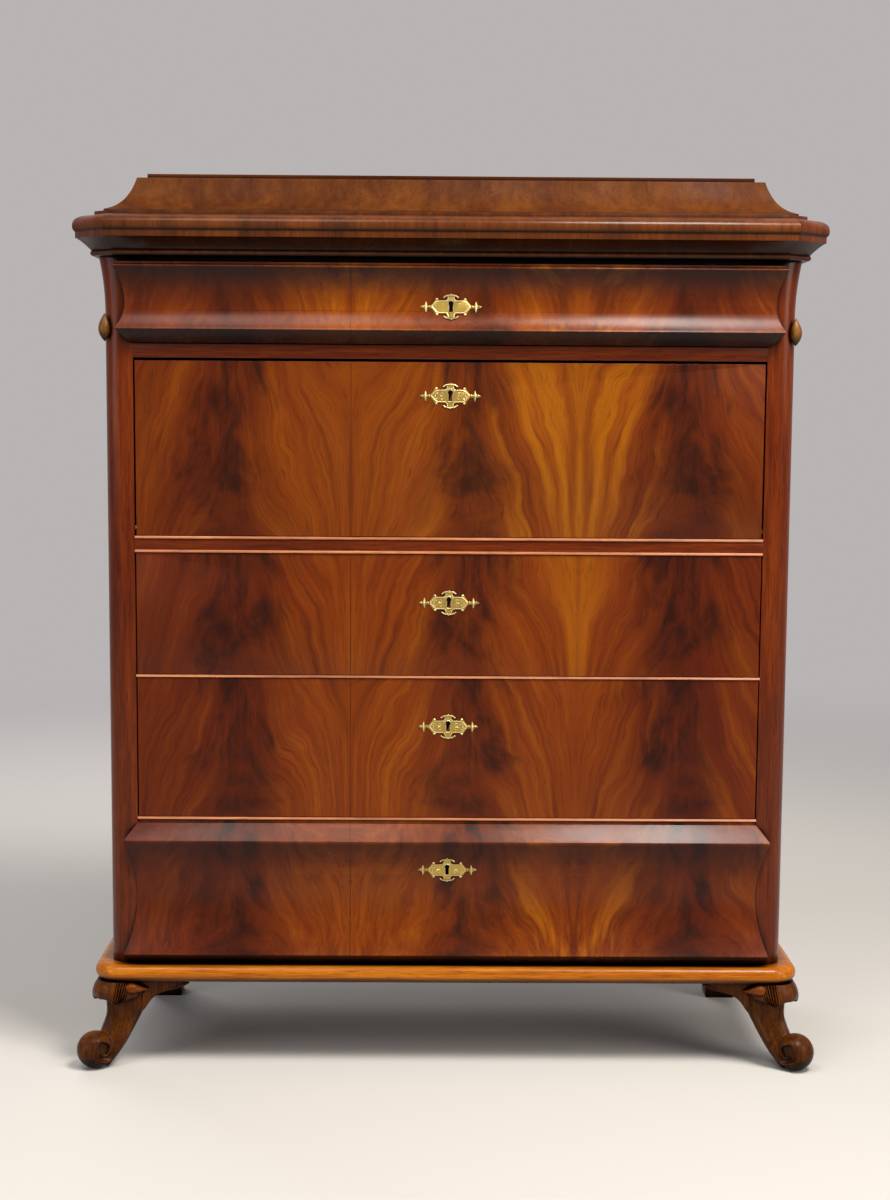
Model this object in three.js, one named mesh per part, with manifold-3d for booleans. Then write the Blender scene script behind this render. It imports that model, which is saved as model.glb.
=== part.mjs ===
// An upright fall-front secretary chest: a coved frieze drawer, a writing flap and three long drawers
// between rounded corner posts, under a canted cornice with a flared attic, on scroll feet.
// Lengths are in millimetres. X runs to the right, Y to the back and Z up from the floor.
// The pieces are laid out with Y = 0 on the front plane of the corner posts.
import * as THREE from "three";
import { mergeVertices } from "three/addons/utils/BufferGeometryUtils.js";
import Module from "manifold-3d";

const wasm = await Module();
wasm.setup();

// Driving dimensions of the case
const caseWidth = 1044;
const caseDepth = 430;
const postWidth = 44;
const postDepth = 40;
const postRounding = 26;
const sideThickness = 20;
const backThickness = 12;
const dividerThickness = 18;
const frontThickness = 20;
const guideHeight = 20;

// Heights of the front, listed from the floor up
const footHeight = 134;
const basePlateThickness = 27;
const bottomUndercutRise = 15.5;
const bottomCoveRise = 179;
const ledgeRise = 25.5;
const ledgeFillet = 4;
const thirdDrawerHeight = 216;
const secondDrawerHeight = 186;
const flapRailHeight = 25;
const flapHeight = 263.5;
const flapTopGap = 4;
const friezeRailHeight = 21.5;
const friezeUndercutRise = 20;
const friezeCoveRise = 95;
const friezeTopFillet = 4;
const friezeTopGap = 9;
const atticRise = 53;
const atticTopThickness = 7;

// Beads and the gaps round the moving fronts
const beadThickness = 3.6;
const beadProud = 2;
const seam = 0.8;
const frontSideGap = 1.8;
const stopGap = 0.5;
const bottomFrontGap = 2;
const runningGap = 1;
const overlayGap = 0.4;
const fittingGap = 0.3;

// Levels that follow from the heights
const basePlateTop = footHeight + basePlateThickness;
const bottomFrontLow = basePlateTop + bottomFrontGap;
const bottomLip = bottomFrontLow + bottomUndercutRise;
const ledgeLip = bottomLip + bottomCoveRise;
const ledgeTop = ledgeLip + ledgeRise;
const bottomFrontTop = ledgeTop + ledgeFillet;
const lowerBeadLow = bottomFrontTop + seam;
const thirdFrontLow = lowerBeadLow + beadThickness + seam;
const thirdFrontTop = thirdFrontLow + thirdDrawerHeight;
const middleBeadLow = thirdFrontTop + seam;
const secondFrontLow = middleBeadLow + beadThickness + seam;
const secondFrontTop = secondFrontLow + secondDrawerHeight;
const flapRailLow = secondFrontTop + seam;
const flapRailTop = flapRailLow + flapRailHeight;
const flapLow = flapRailTop + seam;
const flapTop = flapLow + flapHeight;
const friezeRailLow = flapTop + flapTopGap;
const friezeRailTop = friezeRailLow + friezeRailHeight;
const friezeFrontLow = friezeRailTop + seam;
const friezeLip = friezeFrontLow + friezeUndercutRise;
const friezeCoveTop = friezeLip + friezeCoveRise;
const friezeFrontTop = friezeCoveTop + friezeTopFillet;
const caseTop = friezeFrontTop + friezeTopGap;

// Planes that follow from the case
const caseHalf = caseWidth / 2;
const openingHalf = caseHalf - postWidth;
const sideInner = caseHalf - sideThickness;
const backFace = caseDepth - backThickness;
const innerFront = frontThickness + stopGap;

// The writing flap and its pivots
const flapThickness = 22;
const flapSideGap = 2.5;
const pivotDepth = flapThickness / 2;
const pivotHeight = flapLow + flapThickness / 2;
const pinRadius = 4;
const pinInFlap = 20;
const pinInPost = 8;
const deskFloorTop = flapLow + flapThickness;

// The quadrant stays of the flap
const stayRadius = 190;
const stayBand = 10;
const stayThickness = 4;
const stayInset = 10;
const studRadius = 3.5;
const studReach = 3;
const grooveDepth = 4;
const grooveSide = 1;

// Locks and keyholes, each keyhole a distance below the top of its front
const lockHalfWidth = 32;
const lockThickness = 12;
const lockGap = 3;
const lockBelowKey = 23;
const boltHalfWidth = 12;
const boltThickness = 5;
const boltLength = 24;
const boltThrow = 10;
const keyholeRadius = 3.2;
const keyholeSlotHalf = 2.2;
const keyholeDrop = 12;
const friezeKeyDrop = 58.5;
const flapKeyDrop = 45.5;
const secondKeyDrop = 69;
const thirdKeyDrop = 69;
const bottomKeyDrop = 71;

// The cast plates round the keyholes. The round of a keyhole sits above the middle of its plate.
const keyRise = 5;
const plateHalfWidth = 46.5;
const plateHalfHeight = 20;
const plateThickness = 2.2;

// Drawer boxes
const trayWall = 10;
const trayBottom = 8;
const trayTopGap = 4;
const trayBackGap = 25;

// The fitted gallery inside the writing compartment
const galleryFront = 150;
const gallerySideGap = 18;
const galleryTopGap = 3;
const galleryBoard = 8;
const galleryShelfHeight = 107;
const galleryDrawerHeight = 60;
const nicheHalfWidth = 146;
const knobRadius = 9;
const knobLength = 18;

// One overrun lets every cutting body pass the faces it cuts
const overrun = 5;
const cornerSteps = 7;
const coveSteps = 9;
const arcSteps = 28;

// Finishes
function finish(color, roughness, metalness = 0) {
  return new THREE.MeshStandardMaterial({ color, roughness, metalness });
}
const veneer = finish(0x7a3c16, 0.22);
const edgeWood = finish(0x8a4a1c, 0.25);
const baseWood = finish(0xa5601f, 0.25);
const carvedWood = finish(0x5a2a14, 0.3);
const liningWood = finish(0xb98d5a, 0.6);
const brass = finish(0xc9a85c, 0.3, 1);
const steel = finish(0x8f8f8c, 0.4, 1);
const leather = finish(0x3d2418, 0.5);

// Closed meshes become solids for joining and cutting, and solids become meshes again.
function solid(geometry) {
  const bare = new THREE.BufferGeometry();
  bare.setAttribute("position", geometry.getAttribute("position"));
  bare.setIndex(geometry.index);
  const merged = mergeVertices(bare, 1e-4);
  const vertProperties = new Float32Array(merged.getAttribute("position").array);
  const triVerts = new Uint32Array(merged.index.array);
  return new wasm.Manifold(new wasm.Mesh({ numProp: 3, vertProperties, triVerts }));
}

function geometryOf(body) {
  const { vertProperties, triVerts } = body.getMesh();
  const geometry = new THREE.BufferGeometry();
  geometry.setAttribute("position", new THREE.BufferAttribute(vertProperties, 3));
  geometry.setIndex(new THREE.BufferAttribute(triVerts, 1));
  geometry.computeVertexNormals();
  return geometry;
}

// An outline of [a, b] points as a shape.
function shapeOf(points) {
  return new THREE.Shape(points.map(([a, b]) => new THREE.Vector2(a, b)));
}

// A shape drawn out by one unit, then laid along the given axes, whose last one holds the real length.
function extrude(shape, axes, curveSegments) {
  const geometry = new THREE.ExtrudeGeometry(shape, {
    depth: 1,
    bevelEnabled: false,
    curveSegments,
  });
  geometry.applyMatrix4(axes);
  return solid(geometry);
}

function axesOf(across, up, along, origin) {
  const basis = [across, up, along].map((axis) => new THREE.Vector3(...axis));
  return new THREE.Matrix4().makeBasis(...basis).setPosition(...origin);
}

// The shape's axes lie along Y and Z, and the length along X.
function alongX(shape, x0, x1, curveSegments = cornerSteps) {
  const axes = axesOf([0, 1, 0], [0, 0, 1], [x1 - x0, 0, 0], [x0, 0, 0]);
  return extrude(shape, axes, curveSegments);
}

// The shape's axes lie along X and Z, and the length along Y.
function alongY(shape, y0, y1) {
  return extrude(shape, axesOf([1, 0, 0], [0, 0, 1], [0, y0 - y1, 0], [0, y1, 0]), cornerSteps);
}

// Rings of equally many points, counter-clockwise round the way they are stacked, joined into one body.
function loft(rings) {
  const count = rings[0].length;
  const positions = rings.flat(2);
  const faces = [];
  for (let ring = 0; ring + 1 < rings.length; ring += 1) {
    for (let i = 0; i < count; i += 1) {
      const low = ring * count + i;
      const lowNext = ring * count + ((i + 1) % count);
      faces.push(low, lowNext, lowNext + count);
      faces.push(low, lowNext + count, low + count);
    }
  }
  const last = (rings.length - 1) * count;
  for (let i = 1; i + 1 < count; i += 1) {
    faces.push(0, i + 1, i);
    faces.push(last, last + i, last + i + 1);
  }
  const geometry = new THREE.BufferGeometry();
  geometry.setAttribute("position", new THREE.Float32BufferAttribute(positions, 3));
  geometry.setIndex(faces);
  return geometry;
}

function block(x0, x1, y0, y1, z0, z1) {
  const ring = (height) => [
    [x0, y0, height],
    [x1, y0, height],
    [x1, y1, height],
    [x0, y1, height],
  ];
  return solid(loft([ring(z0), ring(z1)]));
}

// A quarter of an ellipse from the start angle, as [x, y] points round a centre.
function quarter(centreX, centreY, radiusX, radiusY, startAngle, steps) {
  const points = [];
  for (let step = 0; step <= steps; step += 1) {
    const angle = startAngle + ((Math.PI / 2) * step) / steps;
    points.push([centreX + radiusX * Math.cos(angle), centreY + radiusY * Math.sin(angle)]);
  }
  return points;
}

// A plan with square back corners and rounded front corners, or canted ones where steps is 1.
function planRing(half, front, back, corner, steps, height) {
  const left = quarter(corner - half, front + corner, corner, corner, Math.PI, steps);
  const right = quarter(half - corner, front + corner, corner, corner, -Math.PI / 2, steps);
  return [[-half, back], ...left, ...right, [half, back]].map(([x, y]) => [x, y, height]);
}

// Points of a moulding from one [projection, height] to the next, bent by a control point.
function curve(start, control, end, steps) {
  const bezier = new THREE.QuadraticBezierCurve(
    new THREE.Vector2(...start),
    new THREE.Vector2(...control),
    new THREE.Vector2(...end),
  );
  return bezier.getPoints(steps).map((point) => [point.x, point.y]);
}

const chest = new THREE.Group();

function add(name, body, material) {
  const mesh = new THREE.Mesh(geometryOf(body), material);
  mesh.name = name;
  chest.add(mesh);
}

// The right-hand piece as built and its mirror image on the left.
function addPair(name, body, material) {
  const geometry = geometryOf(body);
  for (const [side, scale] of [["right", 1], ["left", -1]]) {
    const mesh = new THREE.Mesh(geometry, material);
    mesh.name = `${name}_${side}`;
    mesh.scale.x = scale;
    chest.add(mesh);
  }
}

// A board across the case. It reaches between the posts from its front edge, and behind them it
// widens to the side panels. With guides, a strip on each end fills in level with the posts.
function caseBoard(front, low, high, withGuides) {
  let board = block(-openingHalf, openingHalf, front, postDepth, low, high);
  board = board.add(block(-sideInner, sideInner, postDepth, backFace, low, high));
  if (!withGuides) return board;
  const guideTop = high + guideHeight;
  board = board.add(block(openingHalf, sideInner, postDepth, backFace, low, guideTop));
  return board.add(block(-sideInner, -openingHalf, postDepth, backFace, low, guideTop));
}

// A mortise in the underside of a board, over a lock, for the thrown bolt.
function mortise(underside, lockFace) {
  const boltFace = lockFace + (lockThickness - boltThickness) / 2;
  return block(
    -boltHalfWidth - runningGap,
    boltHalfWidth + runningGap,
    boltFace - runningGap,
    boltFace + boltThickness + runningGap,
    underside - overrun,
    underside + boltThrow,
  );
}

// Case
const postBoreReach = pinInPost + fittingGap;

function grooveBand(x0, x1) {
  const outer = stayRadius + studRadius + grooveSide;
  const inner = stayRadius - studRadius - grooveSide;
  const band = new THREE.Shape();
  const startAngle = -Math.asin((studRadius + grooveSide) / stayRadius);
  const endAngle = Math.PI / 2 - startAngle;
  band.absarc(pivotDepth, pivotHeight, outer, startAngle, endAngle, false);
  band.absarc(pivotDepth, pivotHeight, inner, endAngle, startAngle, true);
  return alongX(band, x0, x1, arcSteps);
}

function postRing(height, flare) {
  const outer = caseHalf + flare;
  const rounding = quarter(
    caseHalf - postRounding,
    postRounding,
    postRounding + flare,
    postRounding,
    -Math.PI / 2,
    cornerSteps,
  );
  const plan = [[openingHalf, 0], ...rounding, [outer, postDepth], [openingHalf, postDepth]];
  return plan.map(([x, y]) => [x, y, height]);
}

// A carved drop on the outer corner of a post, round below and drawn to a point above.
function postDrop() {
  const dropRadius = 9.5;
  const dropRise = 2.2;
  const dropHeight = 42.5;
  const dropInset = 1.5;
  const dropSetBack = 5;
  const roundShare = 0.87;
  const steps = 12;
  const profile = [];
  for (let step = 0; step <= steps; step += 1) {
    const share = step / steps;
    const radius = step === 0 || step === steps ? 0 : dropRadius * Math.sin(Math.PI * share ** roundShare);
    profile.push(new THREE.Vector2(radius, share * dropHeight));
  }
  const drop = new THREE.LatheGeometry(profile, 2 * cornerSteps);
  drop.rotateX(Math.PI / 2);
  drop.translate(caseHalf - dropInset, dropSetBack, friezeRailTop + dropRise);
  return solid(drop);
}

function cornerPost() {
  const neckFlare = 9;
  const flareLow = friezeLip + friezeCoveRise / 4;
  const rings = [postRing(basePlateTop, 0), postRing(flareLow, 0)];
  for (let step = 1; step <= coveSteps; step += 1) {
    const share = step / coveSteps;
    rings.push(postRing(flareLow + (caseTop - flareLow) * share, neckFlare * share ** 2));
  }
  let post = solid(loft(rings)).add(postDrop());
  post = post.subtract(grooveBand(openingHalf - overrun, openingHalf + grooveDepth));
  const bore = new THREE.CylinderGeometry(
    pinRadius + fittingGap,
    pinRadius + fittingGap,
    postBoreReach + overrun,
    2 * cornerSteps,
  );
  bore.rotateZ(Math.PI / 2);
  bore.translate(openingHalf + (postBoreReach - overrun) / 2, pivotDepth, pivotHeight);
  return post.subtract(solid(bore));
}

addPair("corner_post", cornerPost(), edgeWood);
addPair("side_panel", block(sideInner, caseHalf, postDepth, backFace, basePlateTop, caseTop), veneer);
add("back_panel", block(-caseHalf, caseHalf, backFace, caseDepth, basePlateTop, caseTop), liningWood);

const bottomBoardTop = basePlateTop + dividerThickness;
add("bottom_board", caseBoard(innerFront, basePlateTop, bottomBoardTop, true), liningWood);

const topBoardLow = caseTop - dividerThickness;
const topBoard = caseBoard(innerFront, topBoardLow, caseTop, false);
add("top_board", topBoard.subtract(mortise(topBoardLow, frontThickness)), liningWood);

// The dust boards between the long drawers hide behind the fronts, and a thin bead comes forward of each.
function hiddenDivider(beadLow) {
  const low = beadLow + (beadThickness - dividerThickness) / 2;
  const board = caseBoard(innerFront, low, low + dividerThickness, true);
  return board.subtract(mortise(low, frontThickness));
}

function beadBlade(beadLow) {
  const radius = beadThickness / 2;
  const centre = beadLow + radius;
  const section = new THREE.Shape();
  section.moveTo(innerFront, beadLow);
  section.lineTo(innerFront, beadLow + beadThickness);
  section.lineTo(radius - beadProud, beadLow + beadThickness);
  section.absarc(radius - beadProud, centre, radius, Math.PI / 2, (3 * Math.PI) / 2, false);
  return alongX(section, -openingHalf, openingHalf);
}

add("lower_divider", hiddenDivider(lowerBeadLow), liningWood);
add("lower_bead", beadBlade(lowerBeadLow), edgeWood);
add("middle_divider", hiddenDivider(middleBeadLow), liningWood);
add("middle_bead", beadBlade(middleBeadLow), edgeWood);

// The flap rail has a half-round bead along each edge, and a hollow on top in which the flap's edge turns.
function railBead(low) {
  const half = new THREE.Shape();
  half.moveTo(beadProud, low);
  half.lineTo(beadProud, low + 2 * beadProud);
  half.lineTo(0, low + 2 * beadProud);
  half.absarc(0, low + beadProud, beadProud, Math.PI / 2, (3 * Math.PI) / 2, false);
  return alongX(half, -openingHalf, openingHalf);
}

function flapRail() {
  let rail = caseBoard(0, flapRailLow, flapRailTop, false);
  rail = rail.add(railBead(flapRailLow)).add(railBead(flapRailTop - 2 * beadProud));
  const sweep = Math.hypot(pivotDepth, flapThickness / 2) + seam;
  const hollow = new THREE.CylinderGeometry(sweep, sweep, 2 * openingHalf, 8 * cornerSteps);
  hollow.rotateZ(Math.PI / 2);
  hollow.translate(0, pivotDepth, pivotHeight);
  return rail.subtract(solid(hollow)).subtract(mortise(flapRailLow, frontThickness));
}

add("flap_rail", flapRail(), edgeWood);
const friezeDivider = caseBoard(0, friezeRailLow, friezeRailTop, true);
add("frieze_divider", friezeDivider.subtract(mortise(friezeRailLow, flapThickness)), edgeWood);

// Writing compartment
const deskFloorFront = flapThickness + seam;
const stayOuterFace = openingHalf - stayInset + stayThickness;
const stayInnerFace = openingHalf - stayInset;
const galleryHalf = openingHalf - gallerySideGap;

function deskFloor() {
  const notchBack = pivotDepth + stayRadius + stayBand;
  const floor = block(-openingHalf, openingHalf, deskFloorFront, backFace, flapRailTop, deskFloorTop);
  const notchInner = stayInnerFace - stayThickness;
  return [1, -1].reduce((rest, side) => {
    const [x0, x1] = [side * notchInner, side * (openingHalf + overrun)].sort((a, b) => a - b);
    const notch = block(
      x0,
      x1,
      deskFloorFront - overrun,
      notchBack,
      flapRailTop - overrun,
      deskFloorTop + overrun,
    );
    return rest.subtract(notch);
  }, floor);
}

function deskSide() {
  const side = block(openingHalf, sideInner, postDepth, backFace, flapRailTop, friezeRailLow);
  return side.subtract(grooveBand(openingHalf - overrun, openingHalf + grooveDepth));
}

add("desk_floor", deskFloor(), edgeWood);
addPair("desk_side", deskSide(), edgeWood);

// Gallery: side bays with an upper and a lower row of pigeonholes, and a niche over one small drawer
const galleryTop = friezeRailLow - galleryTopGap;
const galleryBack = backFace - galleryBoard;
const bayEdge = nicheHalfWidth + galleryBoard;
const bayWidth = (galleryHalf - galleryBoard - bayEdge - galleryBoard) / 2;
const galleryRows = [
  [deskFloorTop + galleryBoard, deskFloorTop + galleryShelfHeight],
  [deskFloorTop + galleryShelfHeight + galleryBoard, galleryTop - galleryBoard],
];
const galleryDrawerLow = deskFloorTop + galleryBoard;
const nicheLow = galleryDrawerLow + galleryDrawerHeight + galleryBoard;

function galleryCase() {
  let gallery = block(-galleryHalf, galleryHalf, galleryFront, backFace, deskFloorTop, galleryTop);
  const hollow = (x0, x1, z0, z1) => {
    gallery = gallery.subtract(block(x0, x1, galleryFront - overrun, galleryBack, z0, z1));
  };
  for (const [low, high] of galleryRows) {
    for (const inner of [bayEdge, bayEdge + bayWidth + galleryBoard]) {
      hollow(inner, inner + bayWidth, low, high);
      hollow(-inner - bayWidth, -inner, low, high);
    }
  }
  hollow(-nicheHalfWidth, nicheHalfWidth, galleryDrawerLow, galleryDrawerLow + galleryDrawerHeight);
  hollow(-nicheHalfWidth, nicheHalfWidth, nicheLow, galleryTop - galleryBoard);
  return gallery;
}

function galleryDrawer() {
  const half = nicheHalfWidth - runningGap;
  const low = galleryDrawerLow + fittingGap;
  const high = galleryDrawerLow + galleryDrawerHeight - runningGap;
  const back = galleryBack - runningGap;
  const box = block(-half, half, galleryFront, back, low, high);
  const inner = block(
    trayWall - half,
    half - trayWall,
    galleryFront + trayWall,
    back - trayWall,
    low + trayBottom,
    high + overrun,
  );
  return box.subtract(inner);
}

// A turned knob on a stem, its base on the drawer's face.
function galleryKnob() {
  const profile = [
    [0, 0],
    [0.7, 0],
    [0.7, 0.1],
    [0.4, 0.25],
    [0.4, 0.45],
    [0.9, 0.6],
    [1, 0.78],
    [0.75, 0.94],
    [0, 1],
  ];
  const points = profile.map(
    ([radiusShare, lengthShare]) =>
      new THREE.Vector2(radiusShare * knobRadius, lengthShare * knobLength),
  );
  const knob = new THREE.LatheGeometry(points, 2 * cornerSteps);
  knob.rotateX(Math.PI);
  knob.translate(0, galleryFront, galleryDrawerLow + galleryDrawerHeight / 2);
  return solid(knob);
}

add("gallery_case", galleryCase(), edgeWood);
add("gallery_drawer", galleryDrawer(), edgeWood);
add("gallery_drawer_knob", galleryKnob(), brass);

// Keyholes, plates, locks and bolts
function keyholeShape(height, side) {
  const radius = keyholeRadius + side;
  const slot = keyholeSlotHalf + side;
  const angle = Math.asin(slot / radius);
  const shape = new THREE.Shape();
  shape.moveTo(slot, height - keyholeDrop - side);
  shape.absarc(0, height, radius, angle - Math.PI / 2, (3 * Math.PI) / 2 - angle, false);
  shape.lineTo(-slot, height - keyholeDrop - side);
  return shape;
}

function keyhole(height, y0, y1) {
  return alongY(keyholeShape(height, 0), y0, y1);
}

// The right half of the plate from its top crest round to its lower crest, as shares of its half sizes.
const plateOutlineShares = [
  [0, 1],
  [0.05, 0.9],
  [0.1, 0.905],
  [0.165, 0.87],
  [0.255, 0.7],
  [0.185, 0.745],
  [0.1, 0.72],
  [0.11, 0.62],
  [0.2, 0.48],
  [0.395, 0.485],
  [0.42, 0.58],
  [0.46, 0.65],
  [0.5, 0.51],
  [0.56, 0.32],
  [0.655, 0.08],
  [0.69, 0.13],
  [0.755, 0.075],
  [0.775, 0.34],
  [0.81, 0.39],
  [0.84, 0.34],
  [0.845, 0.08],
  [1, 0],
];

function plateShape(height) {
  const upper = plateOutlineShares;
  const lower = upper.slice(0, -1).reverse();
  const right = [...upper, ...lower.map(([across, up]) => [across, -up])];
  const left = right.slice(1, -1).reverse();
  const outline = [...right, ...left.map(([across, up]) => [-across, up])];
  return shapeOf(
    outline.map(([across, up]) => [across * plateHalfWidth, height + up * plateHalfHeight]),
  );
}

// How far a coved front stands proud at a height, between the points of its profile.
function proudAt(profile, height) {
  const next = profile.findIndex(([, level]) => level > height);
  const [proud0, level0] = profile[next - 1];
  const [proud1, level1] = profile[next];
  return proud0 + ((proud1 - proud0) * (height - level0)) / (level1 - level0);
}

const flatProfile = [[0, 0], [0, caseTop]];

// A plate bent to the profile of the front that carries it.
function keyholePlate(keyHeight, profile) {
  const middle = keyHeight - keyRise;
  const reach = plateHalfHeight + overrun;
  const lift = profile === flatProfile ? 0 : fittingGap;
  const backs = [];
  for (let step = -coveSteps; step <= coveSteps; step += 1) {
    const level = middle + (reach * step) / coveSteps;
    backs.push([-proudAt(profile, level) - lift, level]);
  }
  const fronts = backs.map(([depth, level]) => [depth - plateThickness, level]).reverse();
  const band = alongX(shapeOf([...backs, ...fronts]), -plateHalfWidth, plateHalfWidth);
  const outer = alongY(plateShape(middle), -caseDepth, caseDepth);
  return band.intersect(outer).subtract(keyhole(keyHeight, -caseDepth, caseDepth));
}

function addLock(name, keyHeight, lockFace, lockTop) {
  const lockBack = lockFace + lockThickness;
  const boltFace = lockFace + (lockThickness - boltThickness) / 2;
  const boltHole = block(
    -boltHalfWidth - fittingGap,
    boltHalfWidth + fittingGap,
    boltFace - fittingGap,
    boltFace + boltThickness + fittingGap,
    lockTop - boltLength - fittingGap,
    lockTop + overrun,
  );
  const lock = block(-lockHalfWidth, lockHalfWidth, lockFace, lockBack, keyHeight - lockBelowKey, lockTop)
    .subtract(boltHole)
    .subtract(keyhole(keyHeight, lockFace - overrun, boltFace));
  add(`${name}_lock`, lock, steel);
  const bolt = block(
    -boltHalfWidth,
    boltHalfWidth,
    boltFace,
    boltFace + boltThickness,
    lockTop - boltLength,
    lockTop,
  );
  add(`${name}_bolt`, bolt, steel);
}

// Coved drawer fronts: profile points are [how far proud of the posts, height], from the bottom up
const friezeProud = {
  foot: 4,
  lip: 24,
  deep: 10,
  top: 26,
};
const friezeDeepShare = 0.42;
const lipFillet = 1.5;
const friezeDeep = friezeLip + friezeCoveRise * friezeDeepShare;
const friezeProfile = [
  [friezeProud.foot, friezeFrontLow],
  [friezeProud.lip, friezeLip],
  ...curve(
    [friezeProud.lip, friezeLip + lipFillet],
    [friezeProud.deep, (friezeLip + lipFillet + friezeDeep) / 2],
    [friezeProud.deep, friezeDeep],
    coveSteps,
  ),
  ...curve(
    [friezeProud.deep, friezeDeep],
    [friezeProud.deep, (friezeDeep + friezeCoveTop) / 2],
    [friezeProud.top, friezeCoveTop],
    coveSteps,
  ).slice(1),
  [friezeProud.top, friezeFrontTop],
];

const bottomProud = {
  foot: 8,
  lip: 21,
  deep: 1.5,
  ledge: 20,
};
const bottomDeepShare = 0.5;
const bottomDeep = bottomLip + bottomCoveRise * bottomDeepShare;
const bottomProfile = [
  [bottomProud.foot, bottomFrontLow],
  [bottomProud.lip, bottomLip],
  ...curve(
    [bottomProud.lip, bottomLip + lipFillet],
    [bottomProud.deep, (bottomLip + lipFillet + bottomDeep) / 2],
    [bottomProud.deep, bottomDeep],
    coveSteps,
  ),
  ...curve(
    [bottomProud.deep, bottomDeep],
    [bottomProud.deep, (bottomDeep + ledgeLip) / 2],
    [bottomProud.ledge, ledgeLip - lipFillet],
    coveSteps,
  ).slice(1),
  [bottomProud.ledge, ledgeLip],
  [0, ledgeTop],
  [0, bottomFrontTop],
];

// The part of a coved front that stands before the posts carries its profile round both ends, so that
// the ends are mitred returns.
function covedFront(profile) {
  const [, low] = profile[0];
  const [, high] = profile[profile.length - 1];
  const face = profile.map(([proud, level]) => [-proud, level]);
  const section = shapeOf([[frontThickness, high], [frontThickness, low], ...face]);
  const rightEdge = profile.map(([proud, level]) => [openingHalf + proud, level]);
  const leftEdge = profile.map(([proud, level]) => [-openingHalf - proud, level]).reverse();
  const ends = alongY(shapeOf([...rightEdge, ...leftEdge]), -caseDepth, caseDepth);
  const beforePosts = block(-caseWidth, caseWidth, -caseDepth, -overlayGap, low, high);
  const moulded = alongX(section, -caseHalf, caseHalf).intersect(ends).intersect(beforePosts);
  const bodyHalf = openingHalf - frontSideGap;
  return moulded.add(alongX(section, -bodyHalf, bodyHalf));
}

function flatFront(low, high) {
  const half = openingHalf - frontSideGap;
  return block(-half, half, 0, frontThickness, low, high);
}

// A drawer box: two sides, a back and a bottom behind its front.
const trayHalf = openingHalf - frontSideGap;
const trayBack = backFace - trayBackGap;

function tray(low, high) {
  const box = block(-trayHalf, trayHalf, frontThickness, trayBack, low, high);
  const inner = block(
    trayWall - trayHalf,
    trayHalf - trayWall,
    frontThickness - overrun,
    trayBack - trayWall,
    low + trayBottom,
    high + overrun,
  );
  return box.subtract(inner);
}

// Each drawer runs on the board below it, under the board above it.
const dividerDrop = (dividerThickness - beadThickness) / 2;
const drawers = [
  {
    name: "frieze",
    front: covedFront(friezeProfile),
    profile: friezeProfile,
    floor: friezeRailTop,
    ceiling: topBoardLow,
    key: friezeFrontTop - friezeKeyDrop,
  },
  {
    name: "second",
    front: flatFront(secondFrontLow, secondFrontTop),
    profile: flatProfile,
    floor: middleBeadLow + beadThickness + dividerDrop,
    ceiling: flapRailLow,
    key: secondFrontTop - secondKeyDrop,
  },
  {
    name: "third",
    front: flatFront(thirdFrontLow, thirdFrontTop),
    profile: flatProfile,
    floor: lowerBeadLow + beadThickness + dividerDrop,
    ceiling: middleBeadLow - dividerDrop,
    key: thirdFrontTop - thirdKeyDrop,
  },
  {
    name: "bottom",
    front: covedFront(bottomProfile),
    profile: bottomProfile,
    floor: bottomBoardTop,
    ceiling: lowerBeadLow - dividerDrop,
    key: bottomFrontTop - bottomKeyDrop,
  },
];

for (const { name, front, profile, floor, ceiling, key } of drawers) {
  add(`${name}_drawer_front`, front.subtract(keyhole(key, -caseDepth, caseDepth)), veneer);
  add(`${name}_drawer_tray`, tray(floor + fittingGap, ceiling - trayTopGap), liningWood);
  add(`${name}_drawer_escutcheon`, keyholePlate(key, profile), brass);
  addLock(`${name}_drawer`, key, frontThickness, ceiling - lockGap);
}

// Writing flap: its lower inner edge is rounded about the pivot, and a leather is let into its inner face
const flapHalf = openingHalf - flapSideGap;
const leatherThickness = 1.5;
const leatherSideMargin = 46;
const leatherLowMargin = 34;
const leatherTopMargin = 80;
const lockTopOnFlap = flapTop - lockGap;
const flapKeyHeight = flapTop - flapKeyDrop;

function leatherPanel(side) {
  return block(
    leatherSideMargin - flapHalf - side,
    flapHalf - leatherSideMargin + side,
    flapThickness - leatherThickness - side,
    flapThickness + side * overrun,
    flapLow + leatherLowMargin - side,
    flapTop - leatherTopMargin + side,
  );
}

function pinBody(radius, x0, x1) {
  const pin = new THREE.CylinderGeometry(radius, radius, x1 - x0, 2 * cornerSteps);
  pin.rotateZ(Math.PI / 2);
  pin.translate((x0 + x1) / 2, pivotDepth, pivotHeight);
  return solid(pin);
}

function flapPanel() {
  const section = new THREE.Shape();
  section.moveTo(0, flapTop);
  section.lineTo(0, flapLow);
  section.lineTo(pivotDepth, flapLow);
  section.absarc(pivotDepth, pivotHeight, flapThickness / 2, -Math.PI / 2, 0, false);
  section.lineTo(flapThickness, flapTop);
  let panel = alongX(section, -flapHalf, flapHalf).subtract(leatherPanel(fittingGap));
  const boreRadius = pinRadius + fittingGap;
  const boreEnd = flapHalf - pinInFlap - fittingGap;
  panel = panel.subtract(pinBody(boreRadius, boreEnd, flapHalf + overrun));
  panel = panel.subtract(pinBody(boreRadius, -flapHalf - overrun, -boreEnd));
  return panel.subtract(keyhole(flapKeyHeight, -caseDepth, caseDepth));
}

add("flap_panel", flapPanel(), veneer);
add("writing_leather", leatherPanel(0), leather);
add("flap_escutcheon", keyholePlate(flapKeyHeight, flatProfile), brass);
addLock("flap", flapKeyHeight, flapThickness, lockTopOnFlap);
addPair("flap_pivot_pin", pinBody(pinRadius, flapHalf - pinInFlap, openingHalf + pinInPost), brass);

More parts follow.
